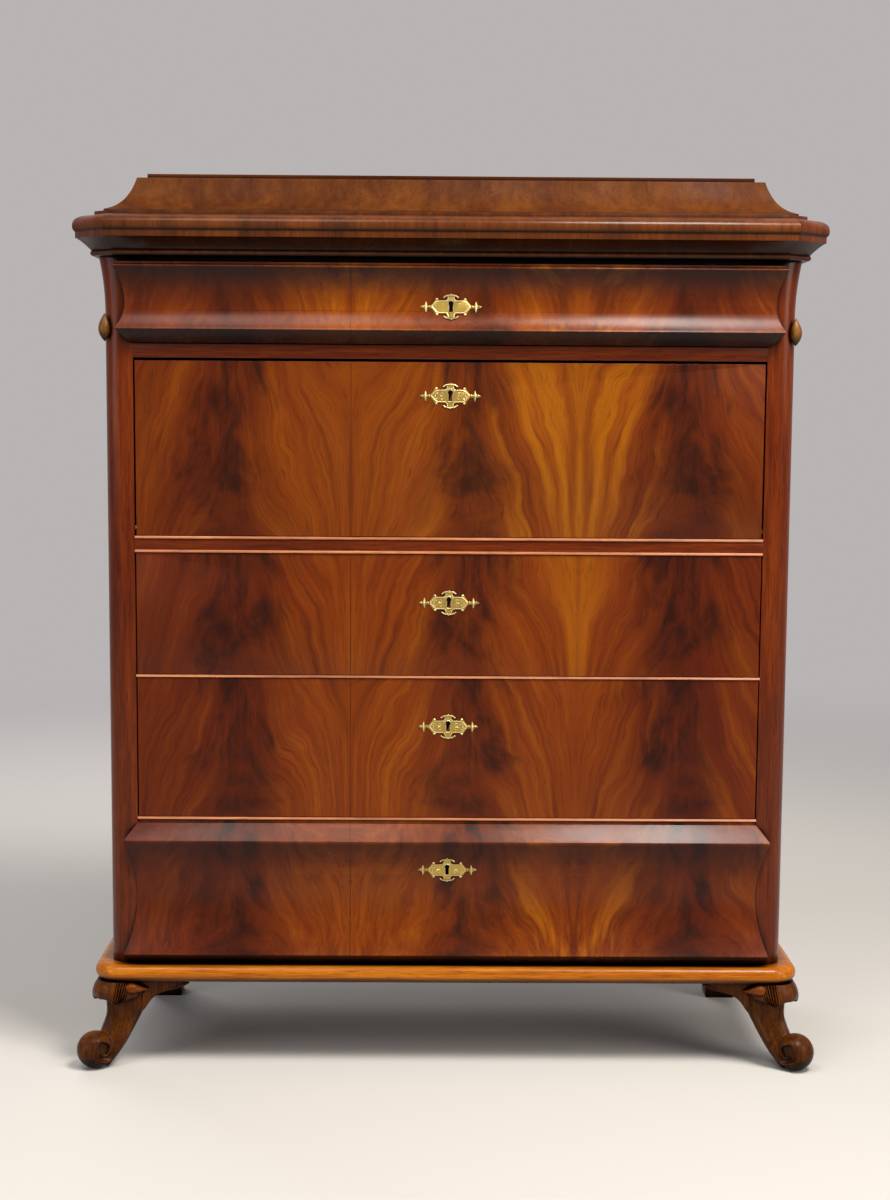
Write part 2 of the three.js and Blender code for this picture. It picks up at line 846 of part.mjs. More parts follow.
// A quadrant stay: an arc about the pivot from a flange on the flap down to a stud that runs in the groove.
function flapStay() {
  const flangeThickness = 2;
  const flangeWidth = 20;
  const flangeLength = 50;
  const rootAngle = Math.acos(flapThickness / 2 / stayRadius);
  const arc = new THREE.Shape();
  arc.absarc(pivotDepth, pivotHeight, stayRadius + stayBand / 2, 0, rootAngle, false);
  arc.absarc(pivotDepth, pivotHeight, stayRadius - stayBand / 2, rootAngle, 0, true);
  const band = alongX(arc, stayInnerFace, stayOuterFace, arcSteps);
  const flangeCentre = pivotHeight + stayRadius;
  const flange = block(
    stayOuterFace - flangeWidth,
    stayOuterFace,
    flapThickness,
    flapThickness + flangeThickness,
    flangeCentre - flangeLength / 2,
    flangeCentre + flangeLength / 2,
  );
  const stud = new THREE.CylinderGeometry(
    studRadius,
    studRadius,
    stayInset + studReach,
    2 * cornerSteps,
  );
  stud.rotateZ(Math.PI / 2);
  stud.translate(
    (stayInnerFace + openingHalf + studReach) / 2,
    pivotDepth + stayRadius,
    pivotHeight,
  );
  return band
    .intersect(block(0, caseWidth, flapThickness, caseDepth, 0, caseTop))
    .add(flange)
    .add(solid(stud));
}

addPair("flap_stay", flapStay(), brass);

// Cornice: profile points are [projection past the case side, height above the case top]
const corniceFrontExtra = 12;
const corniceCantBase = 26.5;
const corniceSeat = 30;
const octagonShare = 2 - Math.SQRT2;
const corniceBead = { low: 12, proud: 18, high: 17, rise: 7.5 };
const corniceCove = { reach: 27, rise: 18.5 };
const corniceFascia = { proud: 40, low: 25.5, high: 35 };
const corniceOvolo = { proud: 44, turn: 36.5, full: 44, high: 60 };
const corniceFillet = { proud: 12.5, high: 66 };
const quirkDepth = 2;

const corniceProfile = [
  [corniceBead.low, 0],
  ...curve(
    [corniceBead.low + 2 * quirkDepth, 0],
    [2 * corniceBead.proud - (corniceBead.low + corniceBead.high) / 2, corniceBead.rise / 2],
    [corniceBead.high, corniceBead.rise],
    coveSteps,
  ),
  ...curve(
    [corniceBead.high, corniceBead.rise],
    [corniceCove.reach, corniceCove.rise],
    [corniceFascia.proud - quirkDepth, corniceFascia.low],
    coveSteps,
  ).slice(1),
  [corniceFascia.proud, corniceFascia.low],
  ...curve(
    [corniceFascia.proud, corniceFascia.high],
    [corniceOvolo.proud, corniceOvolo.turn],
    [corniceOvolo.proud, corniceOvolo.full],
    coveSteps,
  ),
  ...curve(
    [corniceOvolo.proud, corniceOvolo.full],
    [corniceOvolo.proud, corniceOvolo.high],
    [corniceFillet.proud, corniceOvolo.high],
    coveSteps,
  ).slice(1),
  [corniceFillet.proud, corniceFillet.high],
];
const corniceTop = caseTop + corniceFillet.high;

function corniceBody() {
  return solid(
    loft(
      corniceProfile.map(([projection, rise]) =>
        planRing(
          caseHalf + projection,
          -projection - corniceFrontExtra,
          caseDepth,
          corniceCantBase + octagonShare * projection,
          1,
          caseTop + rise,
        ),
      ),
    ),
  );
}

const cornice = corniceBody();
const corniceJoint = corniceCantBase - corniceFrontExtra;
const corniceReach = caseHalf + corniceOvolo.proud + overrun;
const corniceFrontReach = corniceOvolo.proud + corniceFrontExtra;
add(
  "cornice_front",
  cornice.intersect(
    block(
      -corniceReach,
      corniceReach,
      -corniceFrontReach - overrun,
      corniceJoint,
      caseTop - overrun,
      corniceTop + overrun,
    ),
  ),
  veneer,
);
addPair(
  "cornice_side",
  cornice.intersect(
    block(
      caseHalf - corniceSeat,
      corniceReach,
      corniceJoint,
      caseDepth + overrun,
      caseTop - overrun,
      corniceTop + overrun,
    ),
  ),
  veneer,
);

// A rail closes the cornice at the back.
add(
  "cornice_back",
  block(corniceSeat - caseHalf, caseHalf - corniceSeat, backFace, caseDepth, caseTop, corniceTop),
  liningWood,
);

// Attic: a hollow frame that flares down onto the cornice, under a thin top
const atticFoot = -4;
const atticBend = -35.5;
const atticHead = -48;
const atticFootRise = 2.5;
const atticBendRise = 10.5;
const atticWall = 18;
const atticCorner = 1.5;
const atticTopInset = 14;
const atticTopLevel = corniceTop + atticRise;
const atticHeadHalf = caseHalf + atticHead;
const atticHeadFront = -atticHead - corniceFrontExtra;

function atticFrame() {
  const profile = [
    [atticFoot, 0],
    ...curve([atticFoot, atticFootRise], [atticBend, atticBendRise], [atticHead, atticRise], coveSteps),
  ];
  const rings = profile.map(([projection, rise]) =>
    planRing(
      caseHalf + projection,
      -projection - corniceFrontExtra,
      caseDepth,
      atticCorner,
      1,
      corniceTop + rise,
    ),
  );
  const inner = block(
    atticWall - atticHeadHalf,
    atticHeadHalf - atticWall,
    atticHeadFront + atticWall,
    caseDepth - atticWall,
    corniceTop - overrun,
    atticTopLevel + overrun,
  );
  return solid(loft(rings)).subtract(inner);
}

add("attic_frame", atticFrame(), veneer);
add(
  "attic_top",
  block(
    atticTopInset - atticHeadHalf,
    atticHeadHalf - atticTopInset,
    atticHeadFront + atticTopInset,
    caseDepth,
    atticTopLevel,
    atticTopLevel + atticTopThickness,
  ),
  veneer,
);

// Base plate with a half-round edge on its front and sides
const baseProud = 26;
const baseCorner = 42;

function basePlate() {
  const radius = basePlateThickness / 2;
  const rings = [];
  for (let step = 0; step <= 2 * coveSteps; step += 1) {
    const angle = -Math.PI / 2 + (Math.PI * step) / (2 * coveSteps);
    const inset = radius * (1 - Math.cos(angle));
    const proud = baseProud - inset;
    const height = footHeight + radius * (1 + Math.sin(angle));
    rings.push(
      planRing(caseHalf + proud, -proud, caseDepth, baseCorner - inset, cornerSteps, height),
    );
  }
  return solid(loft(rings));
}

add("base_plate", basePlate(), baseWood);

// Front feet. A foot is drawn with its own X pointing out along a diagonal, and Z up. The diagonal
// starts in the front plane, a little inside the case's corner.
const footInset = 2;
const footCorner = caseHalf - footInset;
const scrollRadius = 29;
const scrollHalfWidth = 20;
const scrollBulgeHalf = 29;
const scrollOut = 34;
const padDepth = 0.8;
const scrollHeight = scrollRadius - padDepth;
const footSides = 16;

// Stations of the leg from the floor up to the base plate: shares of the foot height for the place out
// along the diagonal, the height and the reach of its corners.
const legStationShares = [
  [0.132, 0.008, 0.072],
  [0.124, 0.06, 0.113],
  [0.103, 0.127, 0.147],
  [0.074, 0.209, 0.178],
  [0.029, 0.284, 0.19],
  [-0.026, 0.373, 0.196],
  [-0.098, 0.47, 0.202],
  [-0.152, 0.567, 0.222],
  [-0.182, 0.649, 0.245],
  [-0.224, 0.731, 0.283],
  [-0.258, 0.858, 0.293],
  [-0.28, 1, 0.302],
];
const legSquareness = 1.45;

// How far a square with softened corners reaches at an angle, with its corners on the axes.
function squaredReach(angle) {
  const across = Math.abs(Math.sin(angle)) ** legSquareness;
  const out = Math.abs(Math.cos(angle)) ** legSquareness;
  return (out + across) ** (-1 / legSquareness);
}

function footLeg() {
  const rings = legStationShares.map(([out, up, radius]) => {
    const ring = [];
    for (let side = 0; side < footSides; side += 1) {
      const angle = (2 * Math.PI * side) / footSides;
      const reach = radius * squaredReach(angle) * footHeight;
      ring.push([
        out * footHeight + reach * Math.cos(angle),
        reach * Math.sin(angle),
        up * footHeight,
      ]);
    }
    return ring;
  });
  return solid(loft(rings));
}

// A barrel-shaped roll across the toe, with a sunk ring and an eye on each end.
function footScroll() {
  const eyeShare = 0.25;
  const sunkShare = 0.6;
  const sunkDepth = 3;
  const bulge = (across) => scrollRadius * Math.sqrt(1 - (across / scrollBulgeHalf) ** 2);
  const endRadius = bulge(scrollHalfWidth);
  const end = (side) => [
    [0, side * scrollHalfWidth],
    [endRadius * eyeShare, side * scrollHalfWidth],
    [endRadius * eyeShare, side * (scrollHalfWidth - sunkDepth)],
    [endRadius * sunkShare, side * (scrollHalfWidth - sunkDepth)],
    [endRadius * sunkShare, side * scrollHalfWidth],
  ];
  const steps = 8;
  const barrel = [];
  for (let step = 0; step <= steps; step += 1) {
    const across = scrollHalfWidth * ((2 * step) / steps - 1);
    barrel.push([bulge(across), across]);
  }
  const outline = [...end(-1), ...barrel, ...end(1).reverse()];
  const roll = new THREE.LatheGeometry(
    outline.map(([radius, across]) => new THREE.Vector2(radius, across)),
    2 * footSides,
  );
  roll.translate(scrollOut, 0, scrollHeight);
  return solid(roll);
}

// The carved knee: a lobed collar that overhangs the ankle.
const collarStationShares = [
  [0.8, 0.235],
  [0.815, 0.27],
  [0.85, 0.287],
  [0.88, 0.29],
  [0.94, 0.266],
  [1, 0.23],
];

function footCollar() {
  const collarOutShare = -0.08;
  const lobes = 12;
  const lobeDepth = 0.9;
  const points = 4 * lobes;
  const rings = collarStationShares.map(([up, radiusShare]) => {
    const ring = [];
    for (let point = 0; point < points; point += 1) {
      const angle = (2 * Math.PI * point) / points;
      const radius = radiusShare * footHeight + lobeDepth * Math.cos(lobes * angle);
      ring.push([
        collarOutShare * footHeight + radius * Math.cos(angle),
        radius * Math.sin(angle),
        up * footHeight,
      ]);
    }
    return ring;
  });
  return solid(loft(rings));
}

// A bracket under the base plate, from the foot to its thin tip, along X.
const wingReach = 120;
const wingRoot = 15;
const wingThickness = 22;
const wingFace = 8;
const wingTipDrop = 3.5;
const wingDrop = 50;

function footWing() {
  const outline = new THREE.Shape();
  const tip = footCorner - wingReach;
  const root = footCorner - wingRoot;
  const under = (tip + root) / 2;
  outline.moveTo(root, footHeight);
  outline.lineTo(tip, footHeight);
  outline.lineTo(tip, footHeight - wingTipDrop);
  outline.quadraticCurveTo(under, footHeight - 2 * wingTipDrop, under + wingRoot, footHeight - wingDrop);
  outline.lineTo(root, footHeight - wingDrop);
  return alongY(outline, -wingFace, wingThickness - wingFace);
}

// The same bracket along the side of the case: mirrored across the foot's diagonal.
function turnedToSide(body) {
  const { vertProperties, triVerts } = body.getMesh();
  const places = [];
  for (let i = 0; i < vertProperties.length; i += 3) {
    const [x, y, z] = vertProperties.subarray(i, i + 3);
    places.push(footCorner - y, footCorner - x, z);
  }
  const faces = [];
  for (let i = 0; i < triVerts.length; i += 3) {
    faces.push(triVerts[i], triVerts[i + 2], triVerts[i + 1]);
  }
  const geometry = new THREE.BufferGeometry();
  geometry.setAttribute("position", new THREE.Float32BufferAttribute(places, 3));
  geometry.setIndex(faces);
  return solid(geometry);
}

function frontFoot() {
  const carved = footLeg().add(footScroll()).add(footCollar());
  const geometry = geometryOf(carved);
  geometry.rotateZ(-Math.PI / 4);
  geometry.translate(footCorner, 0, 0);
  const wing = footWing();
  const foot = solid(geometry).add(wing).add(turnedToSide(wing));
  const reach = 2 * footHeight;
  return foot.intersect(
    block(footCorner - reach, footCorner + reach, -reach, reach, 0, footHeight),
  );
}

addPair("front_foot", frontFoot(), carvedWood);

// Back feet: plain square feet that taper to the floor
const backFootTopHalf = 34;
const backFootLowHalf = 24;
const backFootInset = 40;

function backFoot() {
  const ring = (half, height) => {
    const x = caseHalf - backFootInset;
    const y = caseDepth - backFootInset;
    return [
      [x - half, y - half, height],
      [x + half, y - half, height],
      [x + half, y + half, height],
      [x - half, y + half, height],
    ];
  };
  return solid(loft([ring(backFootLowHalf, 0), ring(backFootTopHalf, footHeight)]));
}

addPair("back_foot", backFoot(), carvedWood);

// The part's origin is on the floor, under the middle of the whole outline.
const part = new THREE.Group();
chest.position.y = (corniceFrontReach - caseDepth) / 2;
part.add(chest);

export default part;
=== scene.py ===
"""A fall-front secretary chest in flamed mahogany veneer under French polish.

Lengths are in metres, and those of the tables that say so in millimetres. Outlines are written in the
frame of the chest's front, where Y is zero on the corner posts and grows to the back; new_piece moves
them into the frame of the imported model.
"""
import math
from contextlib import contextmanager

import bmesh
import bpy
from mathutils import Matrix, Vector


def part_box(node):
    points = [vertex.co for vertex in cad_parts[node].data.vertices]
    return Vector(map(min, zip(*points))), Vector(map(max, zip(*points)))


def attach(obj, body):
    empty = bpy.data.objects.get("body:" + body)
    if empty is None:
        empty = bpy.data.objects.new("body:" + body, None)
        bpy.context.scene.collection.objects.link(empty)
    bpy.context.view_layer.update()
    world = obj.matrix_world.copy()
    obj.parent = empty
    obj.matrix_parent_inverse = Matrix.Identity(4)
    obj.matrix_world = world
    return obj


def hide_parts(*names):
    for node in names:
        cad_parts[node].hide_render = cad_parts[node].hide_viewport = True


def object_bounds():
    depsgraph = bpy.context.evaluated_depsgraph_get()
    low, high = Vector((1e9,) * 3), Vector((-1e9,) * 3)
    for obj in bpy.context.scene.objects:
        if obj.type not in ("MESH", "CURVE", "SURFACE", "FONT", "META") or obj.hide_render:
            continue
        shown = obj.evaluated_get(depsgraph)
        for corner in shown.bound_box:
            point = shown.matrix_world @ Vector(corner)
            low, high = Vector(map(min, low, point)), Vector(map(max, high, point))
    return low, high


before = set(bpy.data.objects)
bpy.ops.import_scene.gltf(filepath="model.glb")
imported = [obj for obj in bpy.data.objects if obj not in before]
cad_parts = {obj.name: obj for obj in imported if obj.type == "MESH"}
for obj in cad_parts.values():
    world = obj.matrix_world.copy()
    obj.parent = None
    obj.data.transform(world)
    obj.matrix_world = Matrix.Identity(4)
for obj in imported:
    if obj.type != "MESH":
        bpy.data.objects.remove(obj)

cad_low, cad_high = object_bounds()

MM = 0.001

# Case
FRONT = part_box("flap_panel")[0].y
BACK = cad_high.y - FRONT
CASE_HALF = 522 * MM
OPENING_HALF = 478 * MM
POST_DEPTH = 40 * MM
POST_ROUNDING = 26 * MM
CASE_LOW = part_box("side_panel_right")[0].z
CASE_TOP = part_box("side_panel_right")[1].z
FOOT_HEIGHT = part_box("base_plate")[0].z
BASE_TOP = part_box("base_plate")[1].z

# Fronts
FRONT_THICKNESS = 20 * MM
FRONT_SIDE_GAP = 1.8 * MM
OVERLAY_GAP = 0.4 * MM
FRIEZE_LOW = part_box("frieze_drawer_front")[0].z
FRIEZE_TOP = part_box("frieze_drawer_front")[1].z
BOTTOM_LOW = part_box("bottom_drawer_front")[0].z
BOTTOM_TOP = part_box("bottom_drawer_front")[1].z

# Flap pivot and stays
PIVOT_DEPTH = 11 * MM
PIVOT_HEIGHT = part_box("flap_panel")[0].z + PIVOT_DEPTH
GROOVE_RADIUS = 190 * MM
GROOVE_HALF = 4.5 * MM
GROOVE_DEPTH = 4 * MM
GROOVE_STEPS = 60
BORE_RADIUS = 4.3 * MM
BORE_DEPTH = 8.3 * MM
BORE_SIDES = 24

# Edges are eased by this much in this many steps, but not those shorter than so many widths, and
# faces that meet at less than this angle are smooth
ARRIS = 0.5 * MM
ARRIS_STEPS = 2
SHORTEST_WIDTHS = 4
SMOOTH_ANGLE = math.radians(32)
# Points nearer to each other than this are one, and faces that meet at less than this angle are flat
WELD = 0.005 * MM
FLAT_ANGLE = math.radians(0.5)
# Cutters reach this far past what they cut
OVERRUN = 5 * MM


# Shader nodes


def source(value):
    """A node stands for its first output in use; anything else stands for itself."""
    if isinstance(value, bpy.types.Node):
        return next(output for output in value.outputs if output.enabled)
    return value


def set_inputs(tree, node, inputs):
    """Gives each input its value or its link. Inputs go by name, or by index where they have none."""
    for name, value in inputs.items():
        if isinstance(name, int):
            target = node.inputs[name]
        else:
            target = next(s for s in node.inputs if s.enabled and s.name == name)
        value = source(value)
        if isinstance(value, bpy.types.NodeSocket):
            tree.links.new(value, target)
        else:
            target.default_value = value


def add(tree, kind, inputs=None, **settings):
    """Adds a shader node with its settings and inputs."""
    node = tree.nodes.new("ShaderNode" + kind)
    for name, value in settings.items():
        setattr(node, name, value)
    set_inputs(tree, node, inputs or {})
    return node


def calc(tree, operation, *values):
    """A calculation with one or more values."""
    return add(tree, "Math", dict(enumerate(values)), operation=operation)


def object_place(tree):
    """The place in the object's own frame, where every pattern is laid."""
    return add(tree, "TexCoord").outputs["Object"]


def linear(hex_colour):
    """An sRGB hex colour as linear red, green, blue and alpha."""
    channels = [int(hex_colour[i : i + 2], 16) / 255 for i in (1, 3, 5)]
    bright = [c / 12.92 if c <= 0.04045 else ((c + 0.055) / 1.055) ** 2.4 for c in channels]
    return (*bright, 1)


def ramp(tree, value, stops):
    """A colour that follows a value along stops, each a position and an sRGB hex colour."""
    made = add(tree, "ValToRGB", {"Fac": value})
    elements = made.color_ramp.elements
    while len(elements) < len(stops):
        elements.new(0.5)
    for element, (position, colour) in zip(elements, stops):
        element.position = position
        element.color = linear(colour)
    return made


def split(tree, vector):
    """The X, Y and Z of a vector."""
    return add(tree, "SeparateXYZ", {"Vector": vector}).outputs


def new_material(name):
    """A new material with a Principled shader on its output."""
    material = bpy.data.materials.new(name)
    material.use_nodes = True
    tree = material.node_tree
    tree.nodes.clear()
    shader = add(tree, "BsdfPrincipled")
    add(tree, "OutputMaterial", {"Surface": shader})
    return material, tree, shader


# Wood. Its fibres run along one axis, and every pattern in it is drawn out that way.
FIBRE_STRETCH = 0.05
FIBRE = {
    "x": Vector((FIBRE_STRETCH, 1, 1)),
    "y": Vector((1, FIBRE_STRETCH, 1)),
    "z": Vector((1, 1, FIBRE_STRETCH)),
}
# Pores are near 0.3 mm wide in the real wood, and are drawn coarser so that they show
PORE_WIDTH = 1.5 * MM
PORE_DEPTH = 0.3 * MM
# Hands leave patches of about 15 cm where the polish is up to this much rougher
HANDLING_SCALE = 7
HANDLING_BAND = (0.35, 0.65)
HANDLED = 1.4
# Shellac over wood, and polish that has worn and reflects less
WOOD_IOR = 1.28
WORN_IOR = 1.18
# Shade is painted in this dark tone within this reach of a corner, and on faces that look down,
# from the first share of straight down to the second
PAINTED_SHADE_TONE = "#2a1810"
RECESS_SHADE_REACH = 35 * MM
RECESS_SHADE_STOPS = [(0.35, PAINTED_SHADE_TONE), (0.85, "#ffffff")]
UNDERSIDE = (0.12, 0.65)
UNDERSIDE_SHADE = 0.85
PORE_TINT = [(0.32, "#8c8076"), (0.46, "#ffffff")]
# Broad streaks carry finer ones of a fifth of their width
FINE_STREAK = 5
FINE_SHARE = 0.4
STREAK_STOPS = (0.36, 0.5, 0.66)
PORE_SHADE = 0.6
# Boards whose normal lies this near to X face sideways
SIDEWAYS = (0.6, 0.8)


def streaks(tree, place, fibre, width, seed, detail=4.0, distortion=0.4):
    """Streaks of noise of a width, in metres, laid along the fibres."""
    start = Vector((1, 1.7, 0.6)) * seed
    laid = add(tree, "Mapping", {"Vector": place, "Location": start, "Scale": FIBRE[fibre] / width})
    settings = {"Scale": 1, "Detail": detail, "Roughness": 0.6, "Distortion": distortion}
    return add(tree, "TexNoise", {"Vector": laid, **settings})


def noise(tree, scale, detail, **inputs):
    """Noise in the object's own frame, with this many waves to the metre."""
    laid = {"Vector": object_place(tree), "Scale": scale, "Detail": detail}
    return add(tree, "TexNoise", {**laid, **inputs})


def tinted(tree, colour, tint, amount):
    """The colour darkened by a tint."""
    inputs = {"Factor": amount, "A": colour, "B": tint}
    return add(tree, "Mix", inputs, data_type="RGBA", blend_type="MULTIPLY")


def blended(tree, amount, first, second):
    """The first colour, and ever more of the second as the amount grows to 1."""
    inputs = {"Factor": amount, "A": first, "B": second}
    return add(tree, "Mix", inputs, data_type="RGBA")


def band(tree, value, low, high):
    """Rises smoothly from 0 to 1 as the value passes from low to high."""
    inputs = {"Value": value, "From Min": low, "From Max": high}
    return add(tree, "MapRange", inputs, interpolation_type="SMOOTHSTEP")


def scaled(tree, value, factor):
    """The value times a factor."""
    return calc(tree, "MULTIPLY", value, factor)


def painted_shade(tree, colour, shade_share):
    """The colour with painted shade in recesses and on faces that look down."""
    recess = add(tree, "AmbientOcclusion", {"Distance": RECESS_SHADE_REACH})
    recess_shade = ramp(tree, recess.outputs["AO"], RECESS_SHADE_STOPS)
    facing = split(tree, add(tree, "TexCoord").outputs["Normal"])
    under = band(tree, scaled(tree, facing["Z"], -1), *UNDERSIDE)
    shaded = tinted(tree, colour, linear(PAINTED_SHADE_TONE), scaled(tree, under, UNDERSIDE_SHADE * shade_share))
    return tinted(tree, shaded, recess_shade, shade_share)


def finish_wood(tree, shader, colour, pores, roughness, relief, shade_share=1.0, ior=WOOD_IOR):
    """The surface of worked wood: the pores dent it a little, handling leaves it unevenly bright,
    and shade is painted into its recesses and onto faces that look down."""
    handling = noise(tree, HANDLING_SCALE, 3)
    low, high = HANDLING_BAND
    spread = {"From Min": low, "From Max": high, "To Min": roughness, "To Max": roughness * HANDLED}
    uneven = add(tree, "MapRange", {"Value": handling, **spread})
    dents = add(tree, "Bump", {"Height": pores, "Strength": relief, "Distance": PORE_DEPTH})
    inputs = {"Roughness": uneven, "Normal": dents, "IOR": ior}
    set_inputs(tree, shader, {"Base Color": painted_shade(tree, colour, shade_share), **inputs})


def along_boards(tree, coords):
    """Coordinates for wood whose fibres run in X, but in Y on boards that face sideways."""
    facing = split(tree, add(tree, "TexCoord").outputs["Normal"])
    sideways = calc(tree, "ABSOLUTE", facing["X"])
    place = split(tree, coords)
    swapped = add(tree, "CombineXYZ", {"X": place["Y"], "Y": place["X"], "Z": place["Z"]})
    inputs = {"Factor": band(tree, sideways, *SIDEWAYS), "A": coords, "B": swapped}
    return add(tree, "Mix", inputs, data_type="VECTOR")


def plain_wood(name, shades, fibre, streak, roughness, relief, seed, shade_share=1.0, ior=WOOD_IOR):
    """Straight-grained wood: broad streaks of tone from dark to light, and dark pores."""
    material, tree, shader = new_material(name)
    place = object_place(tree)
    if fibre == "x":
        place = along_boards(tree, place)
    width = streak * MM
    broad = streaks(tree, place, fibre, width, seed)
    narrow = streaks(tree, place, fibre, width / FINE_STREAK, seed + 6)
    pores = streaks(tree, place, fibre, PORE_WIDTH, seed + 3, detail=3, distortion=0.1)
    figure = add(tree, "Mix", {"Factor": FINE_SHARE, "A": broad, "B": narrow})
    tone = ramp(tree, figure, list(zip(STREAK_STOPS, shades)))
    pored = tinted(tree, tone, ramp(tree, pores, PORE_TINT), PORE_SHADE)
    finish_wood(tree, shader, pored, pores, roughness, relief, shade_share, ior)
    return material


# Flamed veneer is cut through a fork of the tree. A leaf has a smoky plume in its middle, and its
# neighbours are laid as mirror images, so that straight grain meets straight grain at each joint.
LEAF_JOINT = -150 * MM
LEAF_WIDTH = 347 * MM
PLUME_PLACE = 182 * MM
PLUME_CORE = 14 * MM
PLUME_REACH = 100 * MM
JOINT_WIDTH = 1.6 * MM
FIBRE_LEAN = 0.38
# The run of leaves grows darker to both ends of a front
DARKER_ENDS = (0.12, 0.44)
END_TONE = "#d2baa8"
# Fibres sway by this much, in waves of about 15 cm
SWAY = 90 * MM
SWAY_SCALE = 7
# Widths of the broad streaks, of the lines in them and of the golden flames
FLAME_WIDTH = 34 * MM
LINE_WIDTH = 7 * MM
LINE_SHARE = 0.42
GOLD_WIDTH = 30 * MM
FLAME_STOPS = [(0.34, "#5a2302"), (0.48, "#743203"), (0.58, "#813d04"), (0.72, "#985205")]
# Gold shows where its streaks pass these values, from its left place to its right one ever more
GOLD, GOLD_SHARE, GOLD_BAND = "#b06a06", 0.45, (0.48, 0.74)
GOLD_PLACES, GOLD_LEAST = (-0.25, 0.3), 0.35
# Plumes stray by this much with patches of about 20 cm, and redden the wood
PATCH_SCALE = 5
PLUME_STRAY = 160 * MM
PLUME_RED, PLUME_REDNESS = "#561c02", 0.6
# Smoke gathers in the plumes, drawn out upwards
SMOKE, SMOKE_SHARE, SMOKE_BAND = "#220b02", 0.85, (0.58, 0.86)
SMOKE_SCALE = (22, 22, 9)
SMOKE_IN_PLUME = 0.2
JOINT_TONE = "#5a2604"
VENEER_PORES = 0.45
VENEER_ROUGHNESS, VENEER_RELIEF = 0.22, 0.08


def leaf_place(tree, middle, seed):
    """The place on a leaf, across from its joint, with fibres that sway and lean up to the plume."""
    coords = object_place(tree)
    place = split(tree, coords)
    shifted = calc(tree, "SUBTRACT", place["X"], LEAF_JOINT)
    across = calc(tree, "PINGPONG", shifted, LEAF_WIDTH)

    moved = add(tree, "VectorMath", {0: coords, 1: (seed, seed, seed)}, operation="ADD")
    sway = add(tree, "TexNoise", {"Vector": moved, "Scale": SWAY_SCALE, "Detail": 3, "Roughness": 0.5})
    centred = calc(tree, "SUBTRACT", sway, 0.5)
    from_joint = scaled(tree, across, 2 * math.pi / LEAF_WIDTH)
    free = calc(tree, "SINE", from_joint)
    loose = calc(tree, "ABSOLUTE", free)
    swayed = scaled(tree, scaled(tree, centred, SWAY), loose)

    rise = calc(tree, "SUBTRACT", place["Z"], middle)
    lean = scaled(tree, scaled(tree, rise, FIBRE_LEAN), free)
    leaned = calc(tree, "SUBTRACT", across, lean)
    followed = calc(tree, "ADD", leaned, swayed)
    bent = {"X": followed, "Y": place["Y"], "Z": place["Z"]}
    return coords, across, add(tree, "CombineXYZ", bent)


def flamed_veneer(name, middle, seed, leaf_tone):
    """Flamed mahogany veneer, French polished. Fibres lean from each joint up to a smoky dark plume,
    with golden streaks between, and the polish leaves it glossy over filled pores."""
    material, tree, shader = new_material(name)
    coords, across, bent = leaf_place(tree, middle, seed)
    from_middle = split(tree, coords)["X"]

    broad = streaks(tree, bent, "z", FLAME_WIDTH, seed, detail=3, distortion=0.1)
    narrow = streaks(tree, bent, "z", LINE_WIDTH, seed + 5, detail=4, distortion=0.2)
    figure = add(tree, "Mix", {"Factor": LINE_SHARE, "A": broad, "B": narrow})
    tone = ramp(tree, figure, FLAME_STOPS)

    patches = noise(tree, PATCH_SCALE, 3)
    golden = streaks(tree, bent, "z", GOLD_WIDTH, seed + 8, detail=2, distortion=0.1)
    from_plume = calc(tree, "SUBTRACT", across, PLUME_PLACE)
    uneven = calc(tree, "SUBTRACT", patches, 0.5)
    strayed = calc(tree, "ADD", from_plume, scaled(tree, uneven, PLUME_STRAY))
    distance = calc(tree, "ABSOLUTE", strayed)
    beyond = band(tree, distance, PLUME_CORE, PLUME_REACH)
    plume = calc(tree, "SUBTRACT", 1.0, beyond)

    to_right = band(tree, from_middle, *GOLD_PLACES)
    gold = scaled(tree, band(tree, golden, *GOLD_BAND), scaled(tree, beyond, GOLD_SHARE))
    gold = scaled(tree, gold, calc(tree, "ADD", to_right, GOLD_LEAST))
    gilded = blended(tree, gold, tone, linear(GOLD))
    reddened = blended(tree, scaled(tree, plume, PLUME_REDNESS), gilded, linear(PLUME_RED))

    start = (seed, 0, seed)
    laid = add(tree, "Mapping", {"Vector": bent, "Location": start, "Scale": SMOKE_SCALE})
    cloud = {"Scale": 1, "Detail": 6, "Roughness": 0.62, "Distortion": 0.5}
    smoke = add(tree, "TexNoise", {"Vector": laid, **cloud})
    gathered = calc(tree, "ADD", smoke, scaled(tree, plume, SMOKE_IN_PLUME))
    smoke_here = scaled(tree, band(tree, gathered, *SMOKE_BAND), SMOKE_SHARE)
    smoky = blended(tree, smoke_here, reddened, linear(SMOKE))

    at_joint = band(tree, across, 0, JOINT_WIDTH)
    jointed = blended(tree, at_joint, linear(JOINT_TONE), smoky)
    pores = streaks(tree, bent, "z", PORE_WIDTH, seed + 3, detail=3, distortion=0.1)
    pored = tinted(tree, jointed, ramp(tree, pores, PORE_TINT), VENEER_PORES)
    outer = band(tree, calc(tree, "ABSOLUTE", from_middle), *DARKER_ENDS)
    ended = tinted(tree, pored, linear(END_TONE), outer)
    toned = tinted(tree, ended, linear(leaf_tone), 1.0)
    finish_wood(tree, shader, toned, pores, VENEER_ROUGHNESS, VENEER_RELIEF)
    return material


def dress_shader(tree, shader, tone, grain, dent, **finish):
    """Gives a shader its tone, its finish and a fine grain that dents it by a strength and a depth."""
    strength, depth = dent
    dents = add(tree, "Bump", {"Height": grain, "Strength": strength, "Distance": depth})
    set_inputs(tree, shader, {"Base Color": tone, "Normal": dents, **finish})


# Old polish stays dark this deep in the recesses of a casting. The grain that the moulding sand left
# is shown a millimetre wide, coarser than it is.
POLISH_REACH = 2.5 * MM
POLISH_STOPS = (0.25, 0.6, 0.9)
CASTING_SCALE, CASTING_DENT = 900, (0.15, 0.2 * MM)


